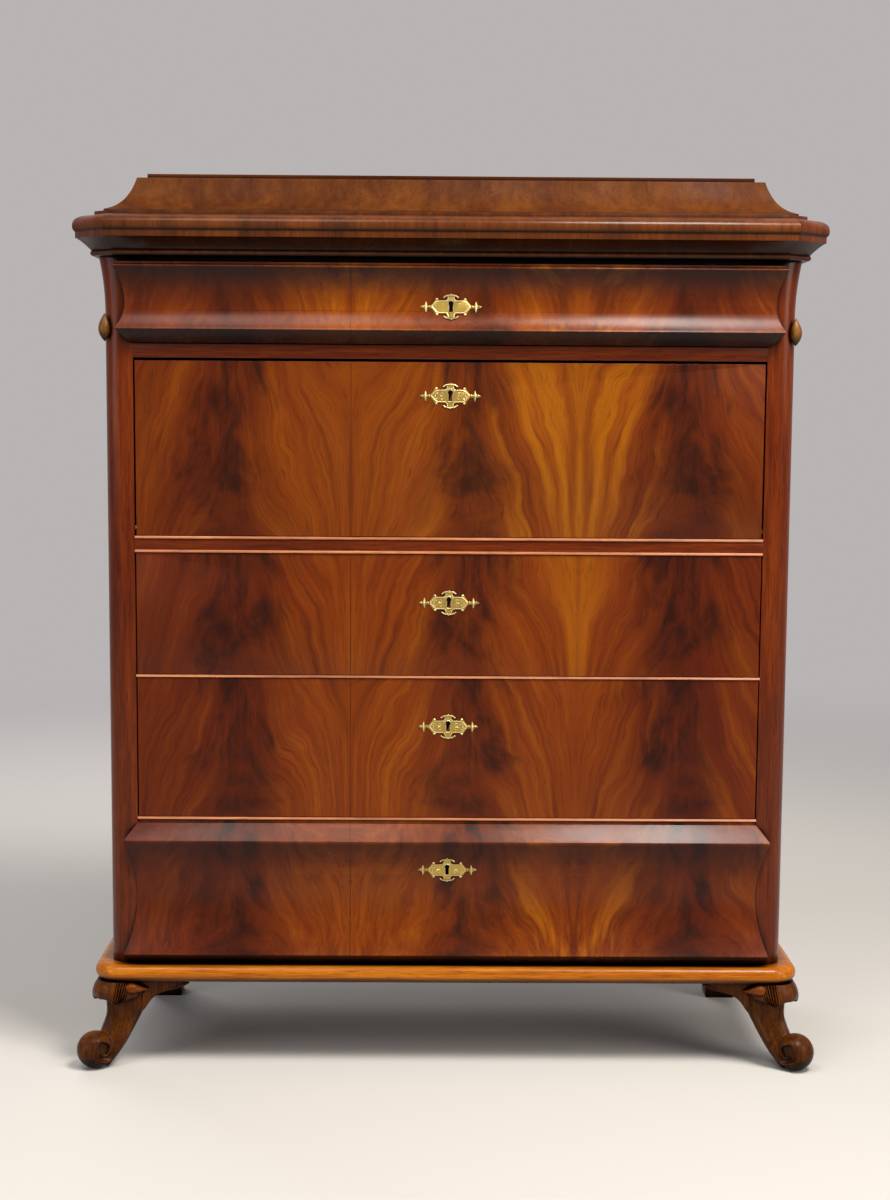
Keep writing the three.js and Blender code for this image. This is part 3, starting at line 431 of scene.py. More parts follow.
def cast_brass(name, dark, middle, bright, roughness):
    """Cast brass, with old polish left dark in its recesses."""
    material, tree, shader = new_material(name)
    recess = add(tree, "AmbientOcclusion", {"Distance": POLISH_REACH})
    tone = ramp(tree, recess.outputs["AO"], list(zip(POLISH_STOPS, (dark, middle, bright))))
    casting = noise(tree, CASTING_SCALE, 2)
    dress_shader(tree, shader, tone, casting, CASTING_DENT, Metallic=1, Roughness=roughness)
    return material


def mottled(name, pattern, stops):
    """A material whose tone follows a pattern of noise."""
    material, tree, shader = new_material(name)
    return material, tree, shader, ramp(tree, noise(tree, **pattern), stops)


# The draw plate left fine lines, shown two thirds of a millimetre wide
DRAWN_SCALE, DRAWN_DENT = 1500, (0.1, 0.1 * MM)


def drawn_brass():
    """Brass strip and rod, drawn and rubbed bright: fine lines along it and a little tarnish."""
    tarnish = {"scale": 60, "detail": 4}
    stops = [(0.35, "#97763a"), (0.6, "#c8a75c")]
    material, tree, shader, tone = mottled("drawn_brass", tarnish, stops)
    lines = noise(tree, DRAWN_SCALE, 2)
    dress_shader(tree, shader, tone, lines, DRAWN_DENT, Metallic=1, Roughness=0.34)
    return material


# Marks of the file, a little over a millimetre apart
FILED_SCALE, FILED_DENT = 700, (0.25, 0.2 * MM)


def lock_iron():
    """Wrought iron lock plate: filed, blackened and dull, with brown specks of rust."""
    rust = {"scale": 90, "detail": 5, "Roughness": 0.7}
    stops = [(0.4, "#4b4845"), (0.6, "#6c6762"), (0.72, "#6a4a33")]
    material, tree, shader, tone = mottled("lock_iron", rust, stops)
    filed = noise(tree, FILED_SCALE, 2)
    dress_shader(tree, shader, tone, filed, FILED_DENT, Metallic=0.8, Roughness=0.5)
    return material


# The pebbles of the leather are a little over a millimetre wide
PEBBLE_SCALE, PEBBLE_DENT = 700, (0.3, 0.2 * MM)


def writing_leather():
    """Dyed sheepskin glued flat: a pebbled grain, rubbed lighter with use."""
    rubbed = {"scale": 12, "detail": 4}
    stops = [(0.35, "#2a1710"), (0.65, "#4a2c1d")]
    material, tree, shader, tone = mottled("writing_leather", rubbed, stops)
    laid = {"Vector": object_place(tree), "Scale": PEBBLE_SCALE}
    pebbles = add(tree, "TexVoronoi", laid, feature="SMOOTH_F1")
    dress_shader(tree, shader, tone, pebbles, PEBBLE_DENT, Roughness=0.5)
    return material


# Each front has its own run of veneer of its own tone, and its fibres lean about the front's middle
FRONTS = {
    "frieze_drawer_front": "#fcfcfa",
    "flap_panel": "#f6f6f0",
    "second_drawer_front": "#eee0d0",
    "third_drawer_front": "#eee0d0",
    "bottom_drawer_front": "#eee4d0",
}
veneers = {}
for number, (node, leaf_tone) in enumerate(FRONTS.items()):
    low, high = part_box(node)
    middle = (low.z + high.z) / 2
    veneers[node] = flamed_veneer("flamed_mahogany_" + node, middle, 3.1 * number, leaf_tone)

# Tones of each wood from dark to light
MAHOGANY = ("#4a1601", "#602202", "#763104")
CORNICE_MAHOGANY = ("#421f08", "#56290a", "#6a3610")
CANT_MAHOGANY = ("#471c08", "#5b270b", "#6f3510")
ATTIC_MAHOGANY = ("#3c1803", "#4e2506", "#60330b")
CARVED_MAHOGANY = ("#2e1402", "#4a2406", "#66350c")
COLLAR_MAHOGANY = ("#361804", "#502808", "#6c3a12")
LOBE_MAHOGANY = ("#502204", "#6e3408", "#8a4a10")
# Mahogany of the beads, lightened to paint their bright highlight line
BEAD_PAINTED_HIGHLIGHT_TONES = ("#8a4a24", "#a8633a", "#bf7a4a")
PEAR = ("#8c4604", "#ac5e08", "#c47a14")
STAINED_PEAR = ("#54300e", "#6e4416", "#885822")
BIRCH = ("#9a6a35", "#b78848", "#cfa468")
PINE = ("#8e6a42", "#ad8555", "#c39f6e")
OLD_PINE = ("#6e4f2e", "#8c6a41", "#a68557")

# Each wood: tones, the way its fibres run, width of its streaks in millimetres, roughness, how
# deep its pores dent it, where in the noise it is cut from, and the share of painted shade if not full
WOODS = {
    # Glossy red-brown with its grain up the post
    "post_mahogany": (MAHOGANY, "z", 14, 0.2, 0.08, 1.3),
    # The same wood laid along the rails
    "rail_mahogany": (MAHOGANY, "x", 12, 0.2, 0.08, 4.1),
    # Wide calm streaks up the sides, a little duller than the front
    "side_mahogany": (MAHOGANY, "z", 40, 0.24, 0.08, 2.2),
    # Cross-banded veneer on the mouldings, browner than the posts
    "cornice_mahogany": (CORNICE_MAHOGANY, "z", 34, 0.2, 0.08, 6.4),
    "cant_mahogany": (CANT_MAHOGANY, "z", 20, 0.2, 0.08, 9.7),
    # Beads in a pale tone that is partly a painted highlight, with no painted shade
    "bead_painted_highlight": (BEAD_PAINTED_HIGHLIGHT_TONES, "x", 12, 0.3, 0.08, 12.2, 0),
    # Golden pear that makes the base plate the brightest piece
    "base_pear": (PEAR, "x", 10, 0.2, 0.1, 5.2),
    # Stained pear of the drops, lighter than the posts behind them
    "drop_pear": (STAINED_PEAR, "z", 10, 0.25, 0.08, 13.6),
    # Pale satin birch inside the writing compartment
    "gallery_birch": (BIRCH, "x", 18, 0.38, 0.12, 8.8),
    # Bare planed pine, matt, of the drawer boxes and linings
    "lining_pine": (PINE, "x", 9, 0.6, 0.3, 10.1),
    # Dirty brown pine that has never been finished
    "back_pine": (OLD_PINE, "z", 22, 0.65, 0.35, 11.4),
}
# Woods whose polish has worn off their high places, so that they mirror less of the room
WORN_WOODS = {
    # Dull brown veneer on the attic, and its top board with the grain along it
    "attic_mahogany": (ATTIC_MAHOGANY, "z", 50, 0.5, 0.08, 3.5),
    "top_mahogany": (ATTIC_MAHOGANY, "x", 30, 0.4, 0.08, 16.1),
    # Dark carved feet, a lighter collar, and a lobe of a lighter, warm orange brown
    "carved_mahogany": (CARVED_MAHOGANY, "z", 14, 0.24, 0.1, 7.9),
    "collar_mahogany": (COLLAR_MAHOGANY, "z", 14, 0.24, 0.08, 14.9),
    "lobe_mahogany": (LOBE_MAHOGANY, "x", 14, 0.22, 0.08, 15.4),
}
woods = {name: plain_wood(name, *values) for name, values in WOODS.items()}
for name, values in WORN_WOODS.items():
    woods[name] = plain_wood(name, *values, ior=WORN_IOR)

# The relief of a plate is rubbed bright, and its ground stays olive
relief_brass = cast_brass("relief_brass", "#665022", "#b89e5c", "#d8c48a", 0.34)
ground_brass = cast_brass("ground_brass", "#4a3412", "#9c8038", "#b89c4c", 0.45)
rod_brass = drawn_brass()
iron = lock_iron()
leather = writing_leather()


# Making pieces


def placed(name, data):
    """A new object in the scene."""
    made = bpy.data.objects.new(name, data)
    bpy.context.scene.collection.objects.link(made)
    return made


@contextmanager
def edited(mesh):
    """Opens a mesh for an edit and writes it back."""
    edit = bmesh.new()
    edit.from_mesh(mesh)
    yield edit
    edit.to_mesh(mesh)
    edit.free()


def new_piece(name, vertices, faces):
    """A mesh object from outlines in the frame of the chest's front."""
    mesh = bpy.data.meshes.new(name)
    mesh.from_pydata([(x, y + FRONT, z) for x, y, z in vertices], [], faces)
    with edited(mesh) as edit:
        bmesh.ops.remove_doubles(edit, verts=edit.verts, dist=WELD)
        bmesh.ops.recalc_face_normals(edit, faces=edit.faces)
    return placed(name, mesh)


def loft(rings):
    """Vertices and faces of a closed body through rings of equally many points."""
    count = len(rings[0])
    faces = []
    for ring in range(len(rings) - 1):
        for i in range(count):
            low, low_next = ring * count + i, ring * count + (i + 1) % count
            faces.append((low, low_next, low_next + count, low + count))
    faces.append(tuple(reversed(range(count))))
    faces.append(tuple(range((len(rings) - 1) * count, len(rings) * count)))
    return [point for ring in rings for point in ring], faces


def applied(piece):
    """Makes the piece's modifiers part of its mesh."""
    view_layer = bpy.context.view_layer
    view_layer.update()
    evaluated = piece.evaluated_get(bpy.context.evaluated_depsgraph_get())
    mesh = bpy.data.meshes.new_from_object(evaluated)
    piece.modifiers.clear()
    piece.data = mesh


def cut(piece, *cutters):
    """Takes the cutters out of the piece."""
    for cutter in cutters:
        modifier = piece.modifiers.new("cut", "BOOLEAN")
        modifier.object = cutter
        modifier.operation = "DIFFERENCE"
        modifier.solver = "EXACT"
    applied(piece)
    for cutter in cutters:
        bpy.data.objects.remove(cutter)


def ease(piece, width):
    """Rounds the sharp edges by a width. Edges shorter than a few widths stay as they are."""
    rounding = {"offset": width, "segments": ARRIS_STEPS, "profile": 0.5, "clamp_overlap": False}
    with edited(piece.data) as edit:
        bmesh.ops.dissolve_limit(edit, angle_limit=FLAT_ANGLE, verts=edit.verts, edges=edit.edges)
        sharp = [
            edge
            for edge in edit.edges
            if edge.is_manifold
            and edge.calc_face_angle() > SMOOTH_ANGLE
            and edge.calc_length() > SHORTEST_WIDTHS * width
        ]
        bmesh.ops.bevel(edit, geom=sharp, affect="EDGES", **rounding)


def dress(piece, material, body, slot, *nodes):
    """Smooths a piece, gives it its finish, and says what it rides on and stands for."""
    piece.data.shade_smooth()
    piece.data.set_sharp_from_angle(angle=SMOOTH_ANGLE)
    piece.data.materials.clear()
    piece.data.materials.append(material)
    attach(piece, body)
    if nodes:
        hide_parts(*nodes)
    return piece


def mirrored(piece, name, mirror):
    """A copy of a piece, turned over by a mirror's matrix."""
    mesh = piece.data.copy()
    mesh.transform(mirror)
    mesh.flip_normals()
    return placed(name, mesh)


def pair(piece):
    """A right-hand piece and its left-hand copy."""
    name = piece.name
    copy = mirrored(piece, name + "_left", Matrix.Scale(-1, 4, (1, 0, 0)))
    piece.name = name + "_right"
    return piece, copy


def dress_pair(piece, material, body, slot, node):
    """Dresses a right-hand piece and its left-hand copy, standing for the two nodes of a pair."""
    for made, side in zip(pair(piece), ("_right", "_left")):
        dress(made, material, body, slot, node + side)


def copied(node):
    """A copy of a CAD node."""
    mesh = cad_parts[node].data.copy()
    with edited(mesh) as edit:
        bmesh.ops.remove_doubles(edit, verts=edit.verts, dist=WELD)
    return placed(node + "_eased", mesh)


def block(x0, x1, y0, y1, z0, z1):
    """Vertices and faces of a block."""
    plan = [(x0, y0), (x1, y0), (x1, y1), (x0, y1)]
    return loft([[(x, y, z) for x, y in plan] for z in (z0, z1)])


def curve(start, control, end, steps):
    """Points of a quadratic curve, each (proud, height)."""
    start, control, end = Vector(start), Vector(control), Vector(end)
    points = []
    for step in range(steps + 1):
        t = step / steps
        points.append(tuple((1 - t) ** 2 * start + 2 * t * (1 - t) * control + t**2 * end))
    return points


def circle(count):
    """The cosine and sine of angles all round a circle."""
    angles = [2 * math.pi * step / count for step in range(count)]
    return [(math.cos(angle), math.sin(angle)) for angle in angles]


def quarter(centre_x, centre_y, radius_x, radius_y, start, steps):
    """A quarter of an ellipse in plan."""
    points = []
    for step in range(steps + 1):
        angle = start + math.pi / 2 * step / steps
        x, y = radius_x * math.cos(angle), radius_y * math.sin(angle)
        points.append((centre_x + x, centre_y + y))
    return points


def plan_ring(half, front, back, corner, steps, height):
    """A plan with square back corners and rounded front ones."""
    left = quarter(corner - half, front + corner, corner, corner, math.pi, steps)
    right = quarter(half - corner, front + corner, corner, corner, -math.pi / 2, steps)
    plan = [(-half, back), *left, *right, (half, back)]
    return [(x, y, height) for x, y in plan]


# Coved drawer fronts, as (proud of the posts, height) from the bottom up
COVE_STEPS = 20
LIP_BACK, LIP_RISE = 0.9 * MM, 1.7 * MM
CREST_BACK, CREST_RISE, CREST_STEP = 1.2 * MM, 2.3 * MM, 4 * MM
FRIEZE_FOOT, FRIEZE_LIP, FRIEZE_DEEP, FRIEZE_CREST = 4 * MM, 24 * MM, 10 * MM, 26 * MM
FRIEZE_LIP_UP, FRIEZE_DEEP_UP, FRIEZE_CREST_DOWN = 20 * MM, 39.9 * MM, 4 * MM
FRIEZE_LIP_HEIGHT = FRIEZE_LOW + FRIEZE_LIP_UP
FRIEZE_DEEP_HEIGHT = FRIEZE_LIP_HEIGHT + FRIEZE_DEEP_UP
FRIEZE_CREST_HEIGHT = FRIEZE_TOP - FRIEZE_CREST_DOWN
BOTTOM_FOOT, BOTTOM_LIP, BOTTOM_DEEP, BOTTOM_LEDGE = 8 * MM, 21 * MM, 1.5 * MM, 20 * MM
BOTTOM_LIP_UP, BOTTOM_DEEP_UP = 15.5 * MM, 89.5 * MM
LEDGE_LIP_DOWN, LEDGE_TOP_DOWN = 29.5 * MM, 4 * MM
BOTTOM_LIP_HEIGHT = BOTTOM_LOW + BOTTOM_LIP_UP
BOTTOM_DEEP_HEIGHT = BOTTOM_LIP_HEIGHT + BOTTOM_DEEP_UP
LEDGE_LIP_HEIGHT = BOTTOM_TOP - LEDGE_LIP_DOWN
LEDGE_TOP_HEIGHT = BOTTOM_TOP - LEDGE_TOP_DOWN
# What stands prouder than the gap returns round the ends, so the ledge starts just beyond it
JUST_PROUD = 1.01 * OVERLAY_GAP


def coved(lip, deep, crest):
    """The cove from its lower lip over its deepest point to its crest."""
    lower = curve(lip, (deep[0], (lip[1] + deep[1]) / 2), deep, COVE_STEPS)
    upper = curve(deep, (deep[0], (deep[1] + crest[1]) / 2), crest, COVE_STEPS)
    return lower + upper[1:]


frieze_profile = [
    (FRIEZE_FOOT, FRIEZE_LOW),
    (FRIEZE_LIP, FRIEZE_LIP_HEIGHT),
    *coved(
        (FRIEZE_LIP - LIP_BACK, FRIEZE_LIP_HEIGHT + LIP_RISE),
        (FRIEZE_DEEP, FRIEZE_DEEP_HEIGHT),
        (FRIEZE_CREST, FRIEZE_CREST_HEIGHT - CREST_RISE),
    ),
    (FRIEZE_CREST - CREST_BACK, FRIEZE_CREST_HEIGHT),
    (FRIEZE_CREST - CREST_STEP, FRIEZE_CREST_HEIGHT + CREST_BACK),
    (FRIEZE_CREST - CREST_STEP, FRIEZE_TOP),
]
bottom_profile = [
    (BOTTOM_FOOT, BOTTOM_LOW),
    (BOTTOM_LIP, BOTTOM_LIP_HEIGHT),
    *coved(
        (BOTTOM_LIP - LIP_BACK, BOTTOM_LIP_HEIGHT + LIP_RISE),
        (BOTTOM_DEEP, BOTTOM_DEEP_HEIGHT),
        (BOTTOM_LEDGE, LEDGE_LIP_HEIGHT - LIP_RISE),
    ),
    (BOTTOM_LEDGE, LEDGE_LIP_HEIGHT),
    (JUST_PROUD, LEDGE_TOP_HEIGHT - OVERLAY_GAP),
    (OVERLAY_GAP, LEDGE_TOP_HEIGHT - OVERLAY_GAP),
    (0, LEDGE_TOP_HEIGHT),
    (0, BOTTOM_TOP),
]
flat_profile = [(0, 0), (0, CASE_TOP)]
coves = {"frieze_drawer_front": frieze_profile, "bottom_drawer_front": bottom_profile}


def proud_at(profile, height):
    """How far a front stands proud at a height."""
    for (proud0, level0), (proud1, level1) in zip(profile, profile[1:]):
        if level0 <= height < level1:
            return proud0 + (proud1 - proud0) * (height - level0) / (level1 - level0)
    return profile[-1][0]


def coved_front(name, profile, keyhole):
    """A front whose moulding returns round both ends, mitred, and stands before the posts."""
    rings = []
    body = OPENING_HALF - FRONT_SIDE_GAP
    for proud, height in profile:
        shoulder = min(OVERLAY_GAP, proud)
        wide = OPENING_HALF + proud if proud > OVERLAY_GAP else body
        plan = [
            (-wide, -proud),
            (wide, -proud),
            (wide, -shoulder),
            (body, -shoulder),
            (body, FRONT_THICKNESS),
            (-body, FRONT_THICKNESS),
            (-body, -shoulder),
            (-wide, -shoulder),
        ]
        rings.append([(x, y, height) for x, y in plan])
    piece = new_piece(name, *loft(rings))
    cut(piece, keyhole_cutter(keyhole))
    ease(piece, ARRIS)
    return piece


# Keyholes
KEYHOLE_RADIUS = 3.2 * MM
KEYHOLE_SLOT = 2.2 * MM
KEYHOLE_DROP = 12 * MM
KEYHOLE_STEPS = 24
# How far below the top of its front the round of each keyhole lies, in millimetres
KEY_DOWN = {
    "frieze_drawer_front": 58.5,
    "flap_panel": 45.5,
    "second_drawer_front": 69,
    "third_drawer_front": 69,
    "bottom_drawer_front": 71,
}


def body_of(front):
    """The drawer or flap that a front is part of."""
    return front.rsplit("_", 1)[0]


def key_height(front):
    """How high the round of a front's keyhole lies."""
    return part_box(front)[1].z - KEY_DOWN[front] * MM


def keyhole_outline(grown=0.0):
    """A round hole over a slot, about the round's centre, grown by so much all round."""
    radius, slot = KEYHOLE_RADIUS + grown, KEYHOLE_SLOT + grown
    start = math.asin(slot / radius) - math.pi / 2
    sweep = 2 * math.pi - 2 * math.asin(slot / radius)
    points = [(-slot, -KEYHOLE_DROP - grown), (slot, -KEYHOLE_DROP - grown)]
    for step in range(KEYHOLE_STEPS + 1):
        angle = start + sweep * step / KEYHOLE_STEPS
        points.append((radius * math.cos(angle), radius * math.sin(angle)))
    return points


def keyhole_cutter(height, grown=0.0):
    """A keyhole that reaches through whatever stands at the front."""
    outline = keyhole_outline(grown)
    rings = [[(x, y, height + z) for x, z in outline] for y in (-POST_DEPTH, POST_DEPTH)]
    return new_piece("keyhole_cutter", *loft(rings))


# Corner posts, with a neck that flares under the cornice
NECK_FLARE = 9 * MM
NECK_START = 23.75 * MM
NECK_LOW = FRIEZE_LIP_HEIGHT + NECK_START
POST_STEPS = 20
NECK_STEPS = 16


def post_ring(height, flare):
    """The plan of the right-hand post at a height, flared out sideways by so much."""
    centre = (CASE_HALF - POST_ROUNDING, POST_ROUNDING)
    radii = (POST_ROUNDING + flare, POST_ROUNDING)
    rounding = quarter(*centre, *radii, -math.pi / 2, POST_STEPS)
    back = [(CASE_HALF + flare, POST_DEPTH), (OPENING_HALF, POST_DEPTH)]
    return [(x, y, height) for x, y in [(OPENING_HALF, 0), *rounding, *back]]


def groove_cutter():
    """The arc in which a stay's stud runs."""
    start = -math.asin(GROOVE_HALF / GROOVE_RADIUS)
    sweep = math.pi / 2 - 2 * start
    inner, outer = GROOVE_RADIUS - GROOVE_HALF, GROOVE_RADIUS + GROOVE_HALF
    mouth, floor = OPENING_HALF - OVERRUN, OPENING_HALF + GROOVE_DEPTH
    rings = []
    for step in range(GROOVE_STEPS + 1):
        angle = start + sweep * step / GROOVE_STEPS
        y, z = math.cos(angle), math.sin(angle)
        corners = [(mouth, inner), (mouth, outer), (floor, outer), (floor, inner)]
        rings.append([(x, PIVOT_DEPTH + r * y, PIVOT_HEIGHT + r * z) for x, r in corners])
    return new_piece("groove_cutter", *loft(rings))


def bore_cutter():
    """The bore in which the flap's pivot pin turns."""
    rings = []
    for x in (OPENING_HALF - OVERRUN, OPENING_HALF + BORE_DEPTH):
        points = [(BORE_RADIUS * y, BORE_RADIUS * z) for y, z in circle(BORE_SIDES)]
        rings.append([(x, PIVOT_DEPTH + y, PIVOT_HEIGHT + z) for y, z in points])
    return new_piece("bore_cutter", *loft(rings))


def corner_post():
    """The right-hand post: straight up to its neck, with the flap's groove and bore in its flank."""
    rings = [post_ring(CASE_LOW, 0), post_ring(NECK_LOW, 0)]
    for step in range(1, NECK_STEPS + 1):
        share = step / NECK_STEPS
        rings.append(post_ring(NECK_LOW + (CASE_TOP - NECK_LOW) * share, NECK_FLARE * share**2))
    piece = new_piece("corner_post_turned", *loft(rings))
    cut(piece, groove_cutter(), bore_cutter())
    ease(piece, ARRIS)
    return piece


DROP_RADIUS = 9.5 * MM
DROP_HEIGHT = 42.5 * MM
DROP_INSET = 1.5 * MM
DROP_SET_BACK = 5 * MM
DROP_UP = 1.4 * MM
DROP_LOW = FRIEZE_LOW + DROP_UP
# Below 1 the drop is fullest under its middle
DROP_ROUNDNESS = 0.87
DROP_TIP = 0.02 * MM
DROP_STEPS = 24
TURNED_SIDES = 32


def lathe(profile, steps):
    """Rings of (radius, height) about the Z axis."""
    rings = []
    for radius, height in profile:
        rings.append([Vector((radius * x, radius * y, height)) for x, y in circle(steps)])
    return rings


def post_drop():
    """A carved drop on the post's corner, round below and drawn to a point above."""
    profile = []
    for step in range(DROP_STEPS + 1):
        share = step / DROP_STEPS
        radius = max(DROP_TIP, DROP_RADIUS * math.sin(math.pi * share**DROP_ROUNDNESS))
        profile.append((radius, share * DROP_HEIGHT))
    centre = Vector((CASE_HALF - DROP_INSET, DROP_SET_BACK, DROP_LOW))
    rings = [[point + centre for point in ring] for ring in lathe(profile, TURNED_SIDES)]
    return new_piece("corner_drop", *loft(rings))


dress_pair(corner_post(), woods["post_mahogany"], "case", "moulding_wood", "corner_post")
for drop in pair(post_drop()):
    dress(drop, woods["drop_pear"], "case", "moulding_wood")

for front, profile in coves.items():
    part = body_of(front)
    made = coved_front(part + "_coved_front", profile, key_height(front))
    dress(made, veneers[front], part, "figured_veneer", front)


# Cornice runs, mitred at the cants. Profile points are (projection, rise above the case).
CORNICE_FRONT_EXTRA = 12 * MM
CANT_BASE = 26.5 * MM
CANT_GROWTH = 2 - math.sqrt(2)
MITRE_LEAN = math.sqrt(2) - 1
CORNICE_JOINT = CANT_BASE - CORNICE_FRONT_EXTRA
CORNICE_SEAT = 30 * MM
MITRE_GAP = 0.12 * MM
CORNICE_STEPS = 12
CORNICE_ARRIS = 0.35 * MM

# Its outline from the bottom up, in millimetres
CORNICE_FOOT = (12, 0)
BEAD_START, BEAD_BELLY, BEAD_END = (16, 0), (21.5, 3.75), (17, 7.5)
COVE_BELLY, COVE_END = (27, 18.5), (38, 25.5)
FASCIA_LOW, FASCIA_HIGH = (40, 25.5), (40, 35)
OVOLO_TURN, OVOLO_FULL, OVOLO_SHOULDER, OVOLO_END = (44, 36.5), (44, 44), (44, 60), (12.5, 60)
FILLET_TOP = (12.5, 66)
cornice_outline = [
    CORNICE_FOOT,
    *curve(BEAD_START, BEAD_BELLY, BEAD_END, CORNICE_STEPS),
    *curve(BEAD_END, COVE_BELLY, COVE_END, CORNICE_STEPS)[1:],
    FASCIA_LOW,
    *curve(FASCIA_HIGH, OVOLO_TURN, OVOLO_FULL, CORNICE_STEPS),
    *curve(OVOLO_FULL, OVOLO_SHOULDER, OVOLO_END, CORNICE_STEPS)[1:],
    FILLET_TOP,
]
cornice_profile = [(projection * MM, rise * MM) for projection, rise in cornice_outline]
CORNICE_TOP = CASE_TOP + cornice_profile[-1][1]


def cornice_run(name, plan_of):
    """A run of the cornice: plan_of gives its plan for a projection."""
    rings = []
    for projection, rise in cornice_profile:
        rings.append([(x, y, CASE_TOP + rise) for x, y in plan_of(projection)])
    piece = new_piece(name, *loft(rings))
    ease(piece, CORNICE_ARRIS)
    return piece


def front_corner(projection):
    """Where the front run meets the cant."""
    return (
        CASE_HALF + projection - CANT_BASE - CANT_GROWTH * projection,
        -projection - CORNICE_FRONT_EXTRA,
    )


def side_corner(projection):
    """Where the cant meets the side run."""
    return CASE_HALF + projection, CORNICE_JOINT - MITRE_LEAN * projection


inner_corner = front_corner(-CANT_BASE)


def front_run_plan(projection):
    """The plan of the front run, between the two cants."""
    x, y = front_corner(projection)
    reach, inner = x - MITRE_GAP, inner_corner[0] - MITRE_GAP
    return [(-reach, y), (reach, y), (inner, CORNICE_JOINT), (-inner, CORNICE_JOINT)]


def cant_plan(projection):
    """The plan of the right-hand cant."""
    joint = (CASE_HALF, CORNICE_JOINT)
    return [front_corner(projection), side_corner(projection), joint, (inner_corner[0], CORNICE_JOINT)]


def side_run_plan(projection):
    """The plan of the right-hand side run, from the cant to the back."""
    x, y = side_corner(projection)
    seat, joint = CASE_HALF - CORNICE_SEAT, CORNICE_JOINT + MITRE_GAP
    return [(x, y + MITRE_GAP), (x, BACK), (seat, BACK), (seat, joint), (CASE_HALF, joint)]


front_run = cornice_run("cornice_front_run", front_run_plan)
dress(front_run, woods["cornice_mahogany"], "case", "cornice_veneer", "cornice_front")
for cant in pair(cornice_run("cornice_cant", cant_plan)):
    dress(cant, woods["cant_mahogany"], "case", "cornice_veneer", "cornice_front")
side_run = cornice_run("cornice_side_run", side_run_plan)
dress_pair(side_run, woods["cornice_mahogany"], "case", "cornice_veneer", "cornice_side")

# Attic
ATTIC_FOOT, ATTIC_BEND, ATTIC_HEAD = -4 * MM, -35.5 * MM, -48 * MM
ATTIC_FOOT_RISE, ATTIC_BEND_RISE, ATTIC_RISE = 2.5 * MM, 10.5 * MM, 53 * MM
ATTIC_WALL = 18 * MM
attic_profile = [
    (ATTIC_FOOT, 0),
    *curve(
        (ATTIC_FOOT, ATTIC_FOOT_RISE),
        (ATTIC_BEND, ATTIC_BEND_RISE),
        (ATTIC_HEAD, ATTIC_RISE),
        COVE_STEPS,
    ),
]


def attic_frame():
    """The attic's flared frame, hollow inside."""
    rings = []
    for projection, rise in attic_profile:
        half, front = CASE_HALF + projection, -projection - CORNICE_FRONT_EXTRA
        plan = [(-half, BACK), (-half, front), (half, front), (half, BACK)]
        rings.append([(x, y, CORNICE_TOP + rise) for x, y in plan])
    piece = new_piece("attic_flared_frame", *loft(rings))
    half = CASE_HALF + ATTIC_HEAD - ATTIC_WALL
    front, back = -ATTIC_HEAD - CORNICE_FRONT_EXTRA + ATTIC_WALL, BACK - ATTIC_WALL
    hollow = [(-half, back), (-half, front), (half, front), (half, back)]
    levels = (CORNICE_TOP - OVERRUN, CORNICE_TOP + ATTIC_RISE + OVERRUN)
    cut(piece, new_piece("hollow", *loft([[(x, y, z) for x, y in hollow] for z in levels])))
    ease(piece, ARRIS)
    return piece


dress(attic_frame(), woods["attic_mahogany"], "case", "cornice_veneer", "attic_frame")

# Base plate with a half-round edge
BASE_PROUD = 26 * MM
BASE_CORNER = 42 * MM
BASE_STEPS, CORNER_STEPS = 24, 16


def base_plate():
    """The base plate, whose plan grows and shrinks again as its half-round edge rises."""
    radius = (BASE_TOP - FOOT_HEIGHT) / 2
    rings = []
    for step in range(BASE_STEPS + 1):
        angle = math.pi * (step / BASE_STEPS - 0.5)
        inset = radius * (1 - math.cos(angle))
        height = FOOT_HEIGHT + radius * (1 + math.sin(angle))
        proud, corner = BASE_PROUD - inset, BASE_CORNER - inset
        rings.append(plan_ring(CASE_HALF + proud, -proud, BACK, corner, CORNER_STEPS, height))
    return new_piece("base_plate_moulded", *loft(rings))


dress(base_plate(), woods["base_pear"], "case", "base_wood", "base_plate")


# Front feet, drawn with their own X out along a diagonal that starts a little inside the case's corner
FOOT_INSET = 2 * MM
FOOT_CORNER = CASE_HALF - FOOT_INSET
DIAGONAL = math.sqrt(0.5)

# Stations of the leg, from the floor up: out along the diagonal, up, and reach, in millimetres
LEG_STATIONS = [
    (17.7, 1.1, 10.2),
    (16.2, 8, 16.4),
    (12.7, 17, 22),
    (7.7, 28, 27.2),
    (1.4, 38, 29.3),
    (-6.4, 50, 30.5),
    (-14.7, 63, 31.6),
    (-22.1, 76, 33.3),
    (-26.4, 87, 36.2),
    (-31, 98, 41.1),
    (-34.6, 115, 41.4),
    (-37.5, 134, 42.7),
]
LEG_SQUARENESS = 1.3
LEG_SIDES = 64
# Carved lines are smoothed with this many points from each station to the next
CARVED_STEPS = 4
SCROLL_OUT = 34 * MM
SCROLL_RADIUS = 29 * MM
SCROLL_HALF = 20 * MM
SCROLL_BULGE = 29 * MM
SCROLL_FLAT = 0.4 * MM
SCROLL_HEIGHT = SCROLL_RADIUS - SCROLL_FLAT


def on_corner(point):
    """From a foot's own frame to the right front corner of the chest."""
    out, across, up = point
    return FOOT_CORNER + DIAGONAL * (out + across), DIAGONAL * (across - out), up


def smooth_path(points, steps):
    """Catmull-Rom points through the given ones."""
    vectors = [Vector(p) for p in points]
    ends = [2 * vectors[0] - vectors[1], *vectors, 2 * vectors[-1] - vectors[-2]]
    path = []
    for a, b, c, d in zip(ends, ends[1:], ends[2:], ends[3:]):
        for step in range(steps):
            t = step / steps
            turn = (2 * a - 5 * b + 4 * c - d) * t**2 + (3 * b - a - 3 * c + d) * t**3
            path.append(0.5 * (2 * b + (c - a) * t + turn))
    return path + [vectors[-1]]


def squared(x, y, power):
    """How far a rounded square reaches in a direction, with its corners on the axes."""
    return (abs(x) ** power + abs(y) ** power) ** (-1 / power)


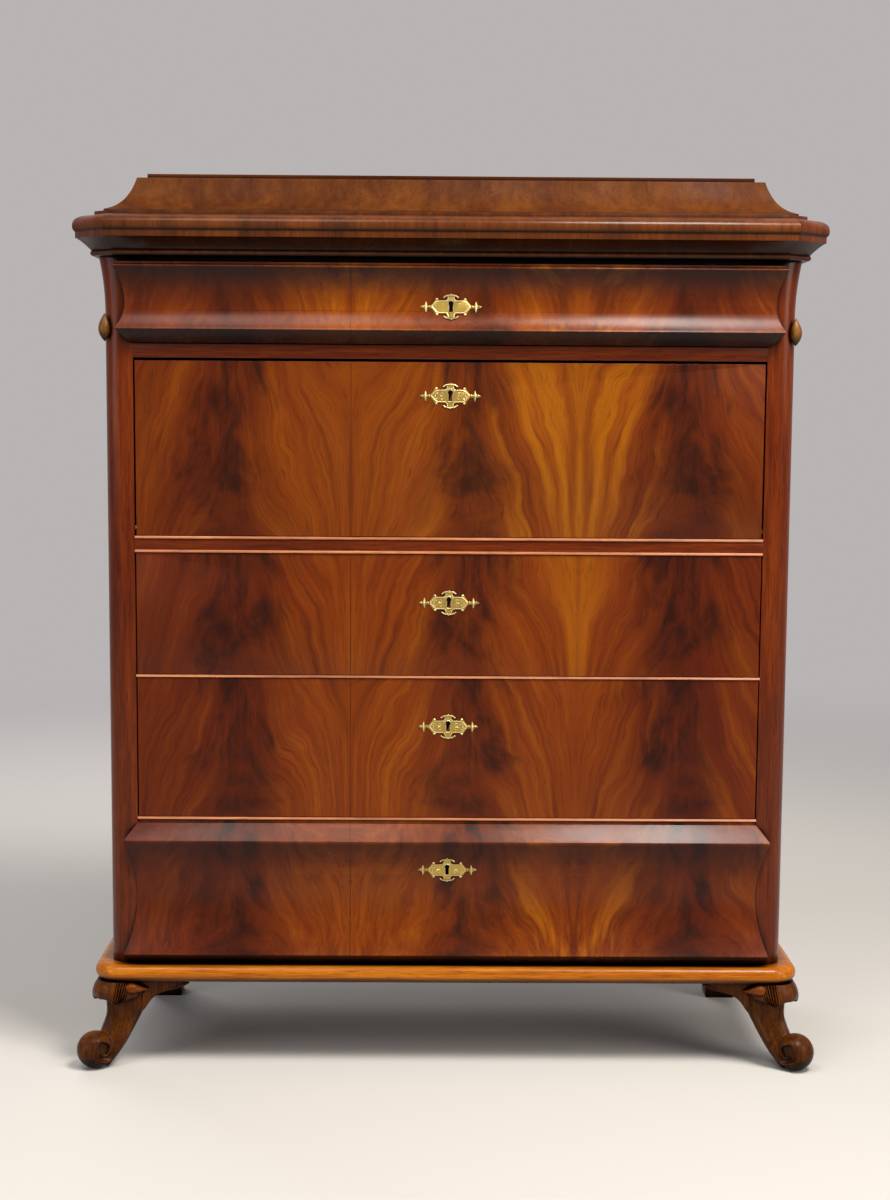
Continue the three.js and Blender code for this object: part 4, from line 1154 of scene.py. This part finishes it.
def foot_leg():
    """The leg is square with softened corners, and one corner runs down the diagonal."""
    rings = []
    for out, up, size in smooth_path(LEG_STATIONS, CARVED_STEPS):
        ring = []
        for x, y in circle(LEG_SIDES):
            reach = size * squared(x, y, LEG_SQUARENESS)
            ring.append(on_corner(Vector((out + reach * x, reach * y, up)) * MM))
        rings.append(ring)
    return new_piece("foot_leg", *loft(rings))


def tube(points, radii, sides):
    """Rings of a tube along points, each with its own radius."""
    rings = []
    first = None
    for i, (point, radius) in enumerate(zip(points, radii)):
        along = (points[min(i + 1, len(points) - 1)] - points[max(i - 1, 0)]).normalized()
        first = along.orthogonal() if first is None else first - along * first.dot(along)
        first.normalize()
        second = along.cross(first)
        rings.append([point + radius * (x * first + y * second) for x, y in circle(sides)])
    return rings


# An end of the scroll, from its edge over the rim and down into the eye: (beyond the barrel's half
# width, radius), in millimetres
SCROLL_END = [
    (0, 20.6),
    (0, 19.4),
    (-0.6, 17.6),
    (-2, 15.8),
    (-4.2, 14.4),
    (-5.8, 11),
    (-6.6, 6),
    (-6.8, 0.3),
]
SCROLL_SIDES = 64
SCROLL_STEPS = 14


def scroll_barrel():
    """A barrel across the diagonal, with a hollow eye in each end."""
    stations = []
    for step in range(SCROLL_STEPS + 1):
        across = SCROLL_HALF * (2 * step / SCROLL_STEPS - 1)
        stations.append((across, SCROLL_RADIUS * math.sqrt(1 - (across / SCROLL_BULGE) ** 2)))
    ends = [(SCROLL_HALF + beyond * MM, radius * MM) for beyond, radius in SCROLL_END]
    stations = [(-a, r) for a, r in reversed(ends)] + stations + ends
    rings = []
    for across, radius in stations:
        ring = []
        for x, z in circle(SCROLL_SIDES):
            place = (SCROLL_OUT + radius * x, across, SCROLL_HEIGHT + radius * z)
            ring.append(on_corner(place))
        rings.append(ring)
    return new_piece("scroll_barrel", *loft(rings))


# A raised edge comes down a corner of the leg, winds round an end of the scroll and runs in to its
# eye: angle in degrees, radius, place beyond the barrel's half width and thickness, in millimetres
VOLUTE = [
    (205, 22, 1.5, 2.4),
    (250, 18.8, -0.4, 2.2),
    (340, 18.4, -0.8, 2.1),
    (430, 18.2, -0.8, 2.1),
    (510, 15.6, -1.2, 2),
    (580, 11.4, -2.6, 1.8),
    (650, 7, -4.2, 1.5),
]
# Heights between which it follows the leg's corner, its thickness there, and how far it is set in
# and stands proud, also in millimetres
EDGE_TOP, EDGE_FOOT = 116, 49
EDGE_THICKNESS = 2
EDGE_INSET = 5
EDGE_PROUD = 3.4
EDGE_STEPS = 12
BEAD_SIDES = 12


def raised_edge(side):
    """The raised edge on one side of the foot, from the knee down to the eye of the scroll."""
    path = []
    for out, up, reach in reversed(LEG_STATIONS):
        if EDGE_FOOT < up < EDGE_TOP:
            path.append((out + EDGE_INSET, reach - EDGE_INSET + EDGE_PROUD, up, EDGE_THICKNESS))
    for degrees, radius, beyond, thickness in VOLUTE:
        angle = math.radians(degrees)
        out = SCROLL_OUT / MM + radius * math.cos(angle)
        up = SCROLL_HEIGHT / MM + radius * math.sin(angle)
        path.append((out, SCROLL_HALF / MM + beyond, up, thickness))
    points, radii = [], []
    for out, across, up, thickness in smooth_path(path, EDGE_STEPS):
        points.append(Vector(on_corner((out * MM, side * across * MM, up * MM))))
        radii.append(thickness * MM)
    return new_piece("raised_edge", *loft(tube(points, radii, BEAD_SIDES)))


def joined(name, parts):
    """One object from several."""
    mesh = bpy.data.meshes.new(name)
    with edited(mesh) as edit:
        for part in parts:
            edit.from_mesh(part.data)
            bpy.data.objects.remove(part)
    return placed(name, mesh)


# The knee's collar: radius and height of its rings in millimetres, from inside its hem up
COLLAR_OUT = -10.7 * MM
COLLAR_RINGS = [
    (30, 111),
    (35.2, 107.2),
    (37.6, 108.2),
    (39, 112),
    (39.2, 117),
    (37.8, 122),
    (35.6, 127),
    (32.8, 131),
    (30.6, 134),
]
COLLAR_SIDES = 432
# The hem has this many waves all round, and they are this high
HEM_WAVES = 10
HEM_WAVE = 0.5
# A leaf lies on the collar at the front and another at the side. Its ribs come down from the bracket
# and gather at its tip, which hangs below the hem. Heights are in millimetres.
LEAF_PLACE = math.radians(47)
LEAF_DROP = 8.5
LEAF_SPREAD = 30
RIB_SLANT = math.radians(22)
RIB_PITCH = math.radians(7.5)
RIBBED_HALF = math.radians(32)
RIB_HEIGHT = 1.9
RIB_GATHER = 0.5


def foot_collar():
    """A collar that widens to its hem, with a ribbed leaf at the front and at the side."""
    rings = []
    path = smooth_path(COLLAR_RINGS, CARVED_STEPS)
    for index, (radius, up) in enumerate(path):
        low = 1 - index / (len(path) - 1)
        ring = []
        for step in range(COLLAR_SIDES):
            angle = 2 * math.pi * step / COLLAR_SIDES - math.pi
            from_leaf = abs(angle) - LEAF_PLACE
            from_rib = from_leaf - RIB_SLANT * (1 - low)
            gathered = from_rib / (1 - RIB_GATHER * low)
            ribbed = max(0.0, 1 - (gathered / RIBBED_HALF) ** 2)
            rib = RIB_HEIGHT * math.cos(2 * math.pi * gathered / RIB_PITCH) * ribbed
            tip = max(0.0, math.cos(from_leaf)) ** LEAF_SPREAD
            wave = HEM_WAVE * math.cos(HEM_WAVES * angle)
            reach = (radius + rib) * MM
            height = up - low * (LEAF_DROP * tip + wave)
            out = COLLAR_OUT + reach * math.cos(angle)
            ring.append(on_corner((out, reach * math.sin(angle), height * MM)))
        rings.append(ring)
    return new_piece("foot_collar", *loft(rings))


# The brackets beside a foot, as (x, z) from the tip to the root, in millimetres
WING_EDGE = [
    (400, 131.5),
    (411, 126),
    (422, 122),
    (434, 119),
    (443, 116),
    (452, 111),
    (459.5, 104),
    (466, 95),
    (471, 86),
]
# How far it runs on into the foot, its top, how far it stands before the posts, its thickness, and the
# bead along its edge, which thins and turns back to its root
WING_ROOT = 16
WING_TOP = FOOT_HEIGHT / MM
WING_FACE = 8
WING_THICKNESS = 22
WING_BEAD, WING_BEAD_END = 2.2, 1.0
WING_BEAD_DEPTH, WING_BEAD_TURN = 0.6, 9


def foot_wing():
    """A bracket with a bead along its lower edge."""
    edge = [tuple(point) for point in smooth_path(WING_EDGE, CARVED_STEPS)]
    root = edge[-1][0] + WING_ROOT
    outline = [(edge[0][0], WING_TOP), *edge, (root, edge[-1][1]), (root, WING_TOP)]
    rings = []
    for y in (-WING_FACE, WING_THICKNESS - WING_FACE):
        rings.append([(x * MM, y * MM, z * MM) for x, z in outline])
    body = new_piece("foot_wing", *loft(rings))
    points, radii = [], []
    for index, (x, z) in enumerate(edge):
        share = index / (len(edge) - 1)
        y = WING_BEAD_DEPTH + WING_BEAD_TURN * share**3 - WING_FACE
        points.append(Vector((x, y, z)) * MM)
        radii.append((WING_BEAD + (WING_BEAD_END - WING_BEAD) * share**2) * MM)
    return [body, new_piece("wing_bead", *loft(tube(points, radii, BEAD_SIDES)))]


# A smooth lobe that comes out of the collar and lies along the bracket: x, y, z and radius, in
# millimetres
LOBE = [
    (499, -12, 123, 5),
    (494, -16.5, 123.5, 8.5),
    (487, -18, 123.8, 9.6),
    (480, -16.5, 123, 7.6),
    (473.5, -14, 122.2, 5.2),
    (466.5, -11, 121.2, 2.6),
    (462, -9, 120.7, 0.8),
]
LOBE_STEPS, LOBE_SIDES = 5, 24


def foot_lobe():
    """The lobe at the front of the foot."""
    path = smooth_path(LOBE, LOBE_STEPS)
    points = [Vector(place) * MM for *place, _ in path]
    radii = [radius * MM for *_, radius in path]
    return new_piece("foot_lobe", *loft(tube(points, radii, LOBE_SIDES)))


def turned_to_side(parts):
    """Copies of the parts for the side of the case, mirrored across the foot's diagonal."""
    corner = Vector((FOOT_CORNER, FRONT, 0))
    flip = Matrix(((0, -1, 0, 0), (-1, 0, 0, 0), (0, 0, 1, 0), (0, 0, 0, 1)))
    across = Matrix.Translation(corner) @ flip @ Matrix.Translation(-corner)
    return [mirrored(part, part.name + "_side", across) for part in parts]


CARVING_GRID = 1.1 * MM
CARVING_ROUNDS = 2
CARVING_KEPT = 0.4


def levelled(piece):
    """Keeps a piece of the foot between the floor and the base plate."""
    for vertex in piece.data.vertices:
        vertex.co.z = min(max(vertex.co.z, 0), FOOT_HEIGHT)
    return piece


def front_foot():
    """The foot's parts fused and softened as if cut from one block."""
    wing = foot_wing()
    edges = [raised_edge(side) for side in (-1, 1)]
    parts = [foot_leg(), scroll_barrel(), *edges, *wing, *turned_to_side(wing)]
    piece = joined("front_foot_carved", parts)
    remesh = piece.modifiers.new("fuse", "REMESH")
    remesh.mode = "VOXEL"
    remesh.voxel_size = CARVING_GRID
    soften = piece.modifiers.new("soften", "SMOOTH")
    soften.iterations = CARVING_ROUNDS
    thin = piece.modifiers.new("thin", "DECIMATE")
    thin.ratio = CARVING_KEPT
    applied(piece)
    return levelled(piece)


lobe = foot_lobe()
lobes = joined("front_foot_lobes", [lobe, *turned_to_side([lobe])])
for made, material in (
    (front_foot(), woods["carved_mahogany"]),
    (levelled(foot_collar()), woods["collar_mahogany"]),
    (levelled(lobes), woods["lobe_mahogany"]),
):
    dress_pair(made, material, "case", "carved_wood", "front_foot")


# Keyhole plates. The right upper quarter of the outline, from the crest to the tip, and the
# ornament on it are in millimetres from the middle of the plate.
PLATE_KEY_RISE = 5
PLATE_QUARTER = [
    (0, 20),
    (1.6, 19.2),
    (2.2, 17.9),
    (4.5, 18.1),
    (7.6, 17.4),
    (10.4, 15.6),
    (11.8, 13.9),
    (10.6, 13.7),
    (8.6, 14.9),
    (6.4, 15.6),
    (4.6, 14.4),
    (5.2, 12.4),
    (7.2, 10.4),
    (9.4, 9.6),
    (14, 9.5),
    (18.4, 9.7),
    (19.6, 11.6),
    (21.4, 13),
    (23.2, 11.9),
    (23.4, 10.2),
    (26, 6.4),
    (28.6, 3.4),
    (30.4, 1.6),
    (32, 2.6),
    (33.6, 1.5),
    (35.4, 2.2),
    (36.6, 4.6),
    (37.6, 8),
    (38.8, 4.6),
    (40, 2.4),
    (42, 2.2),
    (46.3, 0),
]
PLATE_SLAB = 0.7 * MM
# The keyhole of a plate is this much wider all round than the one in the wood
PLATE_KEY_GAP = 0.5 * MM
PLATE_LIFT = 0.3 * MM
PLATE_SOFTENING = 3
# The plate's edge is square up to this height and then slopes in to this share of the outline
PLATE_RIM = 0.35 * MM
PLATE_FACE_SHARE = 0.975


def plate_outline():
    """The whole outline of a plate, from its quarter."""
    upper = [tuple(point) for point in smooth_path(PLATE_QUARTER, PLATE_SOFTENING)]
    lower = [(x, -z) for x, z in reversed(upper[:-1])]
    right = upper + lower
    left = [(-x, z) for x, z in reversed(right[1:-1])]
    return right + left


SPIRAL_STEPS = 18


def spiral(centre, start_radius, end_radius, start_angle, sweep):
    """Points that wind round a centre while the radius changes, in millimetres and degrees."""
    points = []
    for step in range(SPIRAL_STEPS + 1):
        share = step / SPIRAL_STEPS
        angle = math.radians(start_angle + sweep * share)
        radius = start_radius + (end_radius - start_radius) * share
        points.append((centre[0] + radius * math.cos(angle), centre[1] + radius * math.sin(angle)))
    return points


RELIEF_SIDES = 8
# How far a ball stands out, in millimetres, and its sides and rings
BALL_HIGH = 1.3
BALL_SIDES, BALL_RINGS = 16, 10


def relief_tube(points, thick, thin):
    """A line in relief that tapers from thick to thin, sunk into the plate to its middle."""
    path = [Vector((x * MM, -PLATE_SLAB, z * MM)) for x, z in points]
    count = len(path) - 1
    radii = [(thick + (thin - thick) * i / count) * MM for i in range(count + 1)]
    return new_piece("relief", *loft(tube(path, radii, RELIEF_SIDES)))


def relief_ball(x, z, width, tall):
    """A flattened ball, sunk into the plate to its middle."""
    place = Matrix.Translation((x * MM, -PLATE_SLAB, z * MM))
    shape = place @ Matrix.Diagonal((width * MM, BALL_HIGH * MM, tall * MM, 1))
    sides = {"u_segments": BALL_SIDES, "v_segments": BALL_RINGS}
    mesh = bpy.data.meshes.new("ball")
    with edited(mesh) as edit:
        bmesh.ops.create_uvsphere(edit, radius=1, matrix=shape, **sides)
        bmesh.ops.translate(edit, verts=edit.verts, vec=(0, FRONT, 0))
    return placed("ball", mesh)


# Lines of the relief in a quarter of the plate, each with its thickness at both ends
BODY_BORDER = [(6, 9.2), (9, 8.7), (18, 8.7), (21.6, 7.6), (25, 4), (28.6, 0)]
CREST_ARM = [(0, 17.4), (4.4, 17.1), (7.8, 16.2), (10.5, 14.2)]
CREST_STEM = [(4.2, 15.2), (4.4, 12.4), (6, 9.2)]
CROSS_BAR = [(37.6, 0), (37.6, 7)]
TIP_BAR = [(33, 0), (38, 0), (45.4, 0)]
INNER_SCROLL = spiral((13, 3.4), 1.0, 3.6, 30, 320)
OUTER_SCROLL = spiral((20.4, 2.6), 0.8, 3.2, 200, -250)
RELIEF_LINES = [
    (BODY_BORDER, 0.85, 0.85),
    (CREST_ARM, 1.2, 0.9),
    (CREST_STEM, 0.8, 0.8),
    (CROSS_BAR, 1.7, 0.6),
    (TIP_BAR, 1.2, 0.7),
    (INNER_SCROLL, 0.5, 0.7),
    (OUTER_SCROLL, 0.5, 0.7),
]
# Balls of the relief, in a quarter: x, z, half width and half height
RELIEF_BALLS = [
    (20.9, 11, 1.9, 1.8),
    (31.9, 0, 1.7, 1.9),
    (0, 18.6, 1.7, 1.3),
    (10.4, 14.3, 1.3, 1.1),
    (38, 0, 2.1, 2.1),
    (42.6, 0, 1.8, 1.2),
]
# The arch over the keyhole: where it starts and how far it sweeps, in degrees, its radius and thickness
ARCH_START, ARCH_SWEEP, ARCH_RADIUS, ARCH_THICKNESS = 15, 150, 6.6, 0.6
RIM_THICKNESS = 0.8
PLATE_RIM_GROWTH = PLATE_KEY_GAP + RIM_THICKNESS * MM


def mirrored_points(points, flip_x, flip_z):
    """The points of a quarter, for the quarter of these signs."""
    return [(x * flip_x, z * flip_z) for x, z in points]


def plate_relief():
    """Borders, scrolls and balls in relief, the rim of the keyhole and the arch over it."""
    parts = []
    for flip_x, flip_z in ((1, 1), (1, -1), (-1, 1), (-1, -1)):
        for points, thick, thin in RELIEF_LINES:
            parts.append(relief_tube(mirrored_points(points, flip_x, flip_z), thick, thin))
        for x, z, width, tall in RELIEF_BALLS:
            parts.append(relief_ball(x * flip_x, z * flip_z, width, tall))
    rim = [(x / MM, z / MM + PLATE_KEY_RISE) for x, z in keyhole_outline(PLATE_RIM_GROWTH)]
    parts.append(relief_tube([*rim, rim[0]], RIM_THICKNESS, RIM_THICKNESS))
    middle = (0, PLATE_KEY_RISE)
    arch = spiral(middle, ARCH_RADIUS, ARCH_RADIUS, ARCH_START, ARCH_SWEEP)
    parts.append(relief_tube(arch, ARCH_THICKNESS, ARCH_THICKNESS))
    return joined("plate_relief", parts)


def plate_ground():
    """The flat of the plate, with its edge eased and the keyhole through it."""
    rings = []
    for depth, share in ((0, 1.0), (PLATE_RIM, 1.0), (PLATE_SLAB, PLATE_FACE_SHARE)):
        rings.append([(x * share * MM, -depth, z * share * MM) for x, z in plate_outline()])
    slab = new_piece("plate_ground", *loft(rings))
    cut(slab, keyhole_cutter(PLATE_KEY_RISE * MM, PLATE_KEY_GAP))
    return slab


def laid_on_front(piece, name, height, profile):
    """Bends a piece of a plate to the front that carries it."""
    lift = 0 if profile is flat_profile else PLATE_LIFT
    middle = height - PLATE_KEY_RISE * MM
    for vertex in piece.data.vertices:
        vertex.co.z += middle
        vertex.co.y -= proud_at(profile, vertex.co.z) + lift
    piece.name = name
    return piece


for front in KEY_DOWN:
    part = body_of(front)
    profile = coves.get(front, flat_profile)
    for made, material in ((plate_ground(), ground_brass), (plate_relief(), relief_brass)):
        laid = laid_on_front(made, f"{part}_{made.name}", key_height(front), profile)
        dress(laid, material, part, "brass", part + "_escutcheon")


# The knob of the small drawer, in millimetres: radius, and length from the drawer's face
KNOB_PROFILE = [
    (6.3, 0),
    (6.3, 1.6),
    (4.2, 2.8),
    (3.5, 5.5),
    (3.7, 8),
    (6.5, 9.8),
    (8.5, 12),
    (9, 14),
    (8.4, 16),
    (6.2, 17.3),
    (3, 17.9),
    (0.1, 18),
]


def drawer_knob():
    """The knob, turned about an axis that runs out from the small drawer."""
    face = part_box("gallery_drawer")[0].y - FRONT
    low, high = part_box("gallery_drawer_knob")
    height = (low.z + high.z) / 2
    smooth = smooth_path(KNOB_PROFILE, CARVED_STEPS)
    profile = [(radius * MM, length * MM) for radius, length in smooth]
    rings = []
    for ring in lathe(profile, TURNED_SIDES):
        rings.append([(p.x, face - p.z, height + p.y) for p in ring])
    return new_piece("gallery_knob_turned", *loft(rings))


dress(drawer_knob(), rod_brass, "gallery_drawer", "brass", "gallery_drawer_knob")

# Pieces that keep their CAD shape, with eased edges
EASED = [
    ("flap_panel", veneers["flap_panel"], "flap", "figured_veneer"),
    ("second_drawer_front", veneers["second_drawer_front"], "second_drawer", "figured_veneer"),
    ("third_drawer_front", veneers["third_drawer_front"], "third_drawer", "figured_veneer"),
    ("frieze_divider", woods["rail_mahogany"], "case", "moulding_wood"),
    ("attic_top", woods["top_mahogany"], "case", "cornice_veneer"),
    ("side_panel_left", woods["side_mahogany"], "case", "case_veneer"),
    ("side_panel_right", woods["side_mahogany"], "case", "case_veneer"),
    ("gallery_case", woods["gallery_birch"], "case", "gallery_wood"),
    ("gallery_drawer", woods["gallery_birch"], "gallery_drawer", "gallery_wood"),
    ("back_foot_left", woods["carved_mahogany"], "case", "carved_wood"),
    ("back_foot_right", woods["carved_mahogany"], "case", "carved_wood"),
]
for node, material, body, slot in EASED:
    piece = copied(node)
    ease(piece, ARRIS)
    dress(piece, material, body, slot, node)

# Beads between the fronts, whose upper arris is bevelled and shows as a bright line
BEAD_PROUD = 2 * MM
BEAD_BEVEL = 2.6 * MM
BEAD_CHAMFER = 0.4 * MM
RAIL_BEAD = 4 * MM
RAIL_BEAD_SEAT = 0.5 * MM


def bead_strip(name, low, high, back):
    """A bead across the opening, from one height to another and back to a depth."""
    outline = [
        (back, low),
        (back, high),
        (0, high),
        (-BEAD_PROUD, high - BEAD_BEVEL),
        (-BEAD_PROUD, low + BEAD_CHAMFER),
        (BEAD_CHAMFER - BEAD_PROUD, low),
    ]
    rings = [[(x, y, z) for y, z in outline] for x in (-OPENING_HALF, OPENING_HALF)]
    return new_piece(name, *loft(rings))


for node in ("middle_bead", "lower_bead"):
    low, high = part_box(node)
    strip = bead_strip(node + "_bevelled", low.z, high.z, high.y - FRONT)
    dress(strip, woods["bead_painted_highlight"], "case", "moulding_wood", node)


def flap_rail():
    """The rail without its beads, which are pieces of their own."""
    low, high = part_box("flap_rail")
    rail = copied("flap_rail")
    before = block(-CASE_HALF, CASE_HALF, -OVERRUN, 0, low.z - OVERRUN, high.z + OVERRUN)
    cut(rail, new_piece("before_front", *before))
    ease(rail, ARRIS)
    dress(rail, woods["rail_mahogany"], "case", "moulding_wood", "flap_rail")
    for name, bottom in (("upper", high.z - RAIL_BEAD), ("lower", low.z)):
        strip = bead_strip(f"flap_rail_{name}_bead", bottom, bottom + RAIL_BEAD, RAIL_BEAD_SEAT)
        dress(strip, woods["bead_painted_highlight"], "case", "moulding_wood", "flap_rail")


flap_rail()

# The back is closed with upright boards that have shrunk a little apart
BACK_BOARDS = 7
BOARD_GAP = 0.6 * MM
BOARD_EASING = 1.5 * MM


def back_boards():
    """The boards of the back, side by side."""
    low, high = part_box("back_panel")
    pitch = (high.x - low.x) / BACK_BOARDS
    depths = (low.y - FRONT, high.y - FRONT)
    boards = []
    for number in range(BACK_BOARDS):
        left = low.x + pitch * number
        shape = block(left, left + pitch - BOARD_GAP, *depths, low.z, high.z)
        boards.append(new_piece("board", *shape))
    piece = joined("back_boards", boards)
    ease(piece, BOARD_EASING)
    return piece


dress(back_boards(), woods["back_pine"], "case", "lining_wood", "back_panel")

# CAD nodes that stay as they are, with their finish
CAD_FINISH = {
    woods["back_pine"]: ["cornice_back"],
    woods["gallery_birch"]: ["desk_floor", "desk_side_left", "desk_side_right"],
    woods["lining_pine"]: [
        "top_board",
        "bottom_board",
        "middle_divider",
        "lower_divider",
        "frieze_drawer_tray",
        "second_drawer_tray",
        "third_drawer_tray",
        "bottom_drawer_tray",
    ],
    rod_brass: [
        "flap_stay_left",
        "flap_stay_right",
        "flap_pivot_pin_left",
        "flap_pivot_pin_right",
    ],
    iron: [
        f"{part}_{piece}"
        for part in ("flap", "frieze_drawer", "second_drawer", "third_drawer", "bottom_drawer")
        for piece in ("lock", "bolt")
    ],
    leather: ["writing_leather"],
}
for material, nodes in CAD_FINISH.items():
    for node in nodes:
        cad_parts[node].data.materials.clear()
        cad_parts[node].data.materials.append(material)


# Floor, light and camera. The floor's paper runs out into the backdrop's tone between these distances
# from the chest, and its fibres are drawn 3 mm wide.
BACKDROP = linear("#b9b4b4")
FLOOR = linear("#cdc9c4")
FLOOR_RADIUS = 60.0
FLOOR_SIDES = 96
FADE = (1.3, 4.5)
PAPER_SCALE, PAPER_DENT = 300, (0.1, 0.2 * MM)
FILL_TONE, FILL_STRENGTH = linear("#e8ecf2"), 0.2


def seen_directly(tree):
    """1 for rays from the camera and in reflections, 0 for the light that falls on the object."""
    path = add(tree, "LightPath")
    rays = [path.outputs[f"Is {kind} Ray"] for kind in ("Camera", "Glossy", "Transmission")]
    first = calc(tree, "MAXIMUM", rays[0], rays[1])
    return calc(tree, "MAXIMUM", first, rays[2])


def studio_paper():
    """Matt background paper that runs out into the backdrop's tone away from the object."""
    material, tree, shader = new_material("studio_paper")
    fibres = noise(tree, PAPER_SCALE, 2)
    matt = {"Roughness": 0.8, "Specular IOR Level": 0.1}
    dress_shader(tree, shader, FLOOR, fibres, PAPER_DENT, **matt)
    away = add(tree, "VectorMath", {0: object_place(tree)}, operation="LENGTH")
    faded = band(tree, away.outputs["Value"], *FADE)
    glow = add(tree, "Emission", {"Color": BACKDROP, "Strength": 1.0})
    shown = calc(tree, "MULTIPLY", faded, seen_directly(tree))
    surface = add(tree, "MixShader", {0: shown, 1: shader, 2: glow})
    output = next(node for node in tree.nodes if node.bl_idname == "ShaderNodeOutputMaterial")
    set_inputs(tree, output, {"Surface": surface})
    return material


def studio_floor():
    """A round floor, so wide that its edge can't be told from the backdrop."""
    mesh = bpy.data.meshes.new("studio_floor")
    with edited(mesh) as edit:
        bmesh.ops.create_circle(edit, cap_ends=True, segments=FLOOR_SIDES, radius=FLOOR_RADIUS)
    floor = placed("studio_floor", mesh)
    floor.data.materials.append(studio_paper())


def studio_world():
    """A weak even fill on the object, and the backdrop's tone where the world is seen."""
    world = bpy.data.worlds.new("studio")
    bpy.context.scene.world = world
    world.use_nodes = True
    tree = world.node_tree
    tree.nodes.clear()
    fill = add(tree, "Background", {"Color": FILL_TONE, "Strength": FILL_STRENGTH})
    pale = add(tree, "Background", {"Color": BACKDROP, "Strength": 1.0})
    mixed = add(tree, "MixShader", {0: seen_directly(tree), 1: fill, 2: pale})
    add(tree, "OutputWorld", {"Surface": mixed})


def soft_light(name, place, target, size, power, colour):
    """A large soft lamp that faces a target."""
    lamp = bpy.data.lights.new(name, "AREA")
    lamp.shape = "RECTANGLE"
    lamp.size, lamp.size_y = size
    lamp.energy = power
    lamp.color = linear(colour)[:3]
    holder = placed(name, lamp)
    holder.location = place
    holder.rotation_euler = (Vector(target) - Vector(place)).to_track_quat("-Z", "Y").to_euler()
    return holder


# Each lamp: its place, what it faces, its width and height, its watts and its tone
CHEST_MIDDLE = (0, 0, 0.7)
LAMPS = {
    "ceiling": ((1.2, -1.5, 3.4), (0.3, -0.5, 0.6), (1.15, 1.05), 128, "#fffaf2"),
    "ceiling_left": ((-0.9, -1.5, 3.4), (-0.3, -0.5, 0.6), (1.5, 1.4), 44, "#fffaf2"),
    "window": ((3.1, -2.2, 2.1), CHEST_MIDDLE, (1.6, 2.2), 60, "#fffaf2"),
    "fill": ((-3.2, -2.4, 1.7), CHEST_MIDDLE, (2.2, 2.2), 35, "#f4f7ff"),
    "behind": ((-1.6, 3.2, 2.4), CHEST_MIDDLE, (2.4, 2.0), 60, "#ffffff"),
}

studio_floor()
studio_world()
lamps = {name: soft_light(name, *values) for name, values in LAMPS.items()}
# It lights the back evenly and leaves no glint along the chest's edges
lamps["behind"].visible_glossy = False

# The camera's place, angles, focal length and shift were fitted to the photograph. The last two are
# measured in its pixels and are shares of its longer side.
PHOTO_HEIGHT = 1200
CAMERA_PLACE = Vector((-0.035, -3.1163 + FRONT, 1.025))
CAMERA_PITCH = math.radians(6.748)
CAMERA_YAW = math.radians(-0.543)
CAMERA_ROLL = math.radians(0.390)
FOCAL_SHARE = 2049.5 / PHOTO_HEIGHT
SHIFT_SHARE = 47.9 / PHOTO_HEIGHT
SENSOR = 36.0


def camera_matrix():
    """The camera's frame: it looks level along Y, then pitches down, yaws and rolls."""
    forward = Vector(
        (
            -math.sin(CAMERA_YAW) * math.cos(CAMERA_PITCH),
            math.cos(CAMERA_YAW) * math.cos(CAMERA_PITCH),
            -math.sin(CAMERA_PITCH),
        )
    )
    level = Vector((math.cos(CAMERA_YAW), math.sin(CAMERA_YAW), 0))
    upright = level.cross(forward)
    right = level * math.cos(CAMERA_ROLL) + upright * math.sin(CAMERA_ROLL)
    up = upright * math.cos(CAMERA_ROLL) - level * math.sin(CAMERA_ROLL)
    turned = Matrix((right, up, -forward)).transposed().to_4x4()
    return Matrix.Translation(CAMERA_PLACE) @ turned


camera_data = bpy.data.cameras.new("camera")
camera_data.sensor_width = SENSOR
camera_data.lens = FOCAL_SHARE * SENSOR
camera_data.shift_y = SHIFT_SHARE
camera = placed("camera", camera_data)
camera.matrix_world = camera_matrix()
bpy.context.scene.camera = camera
bpy.context.scene.view_settings.view_transform = "Standard"
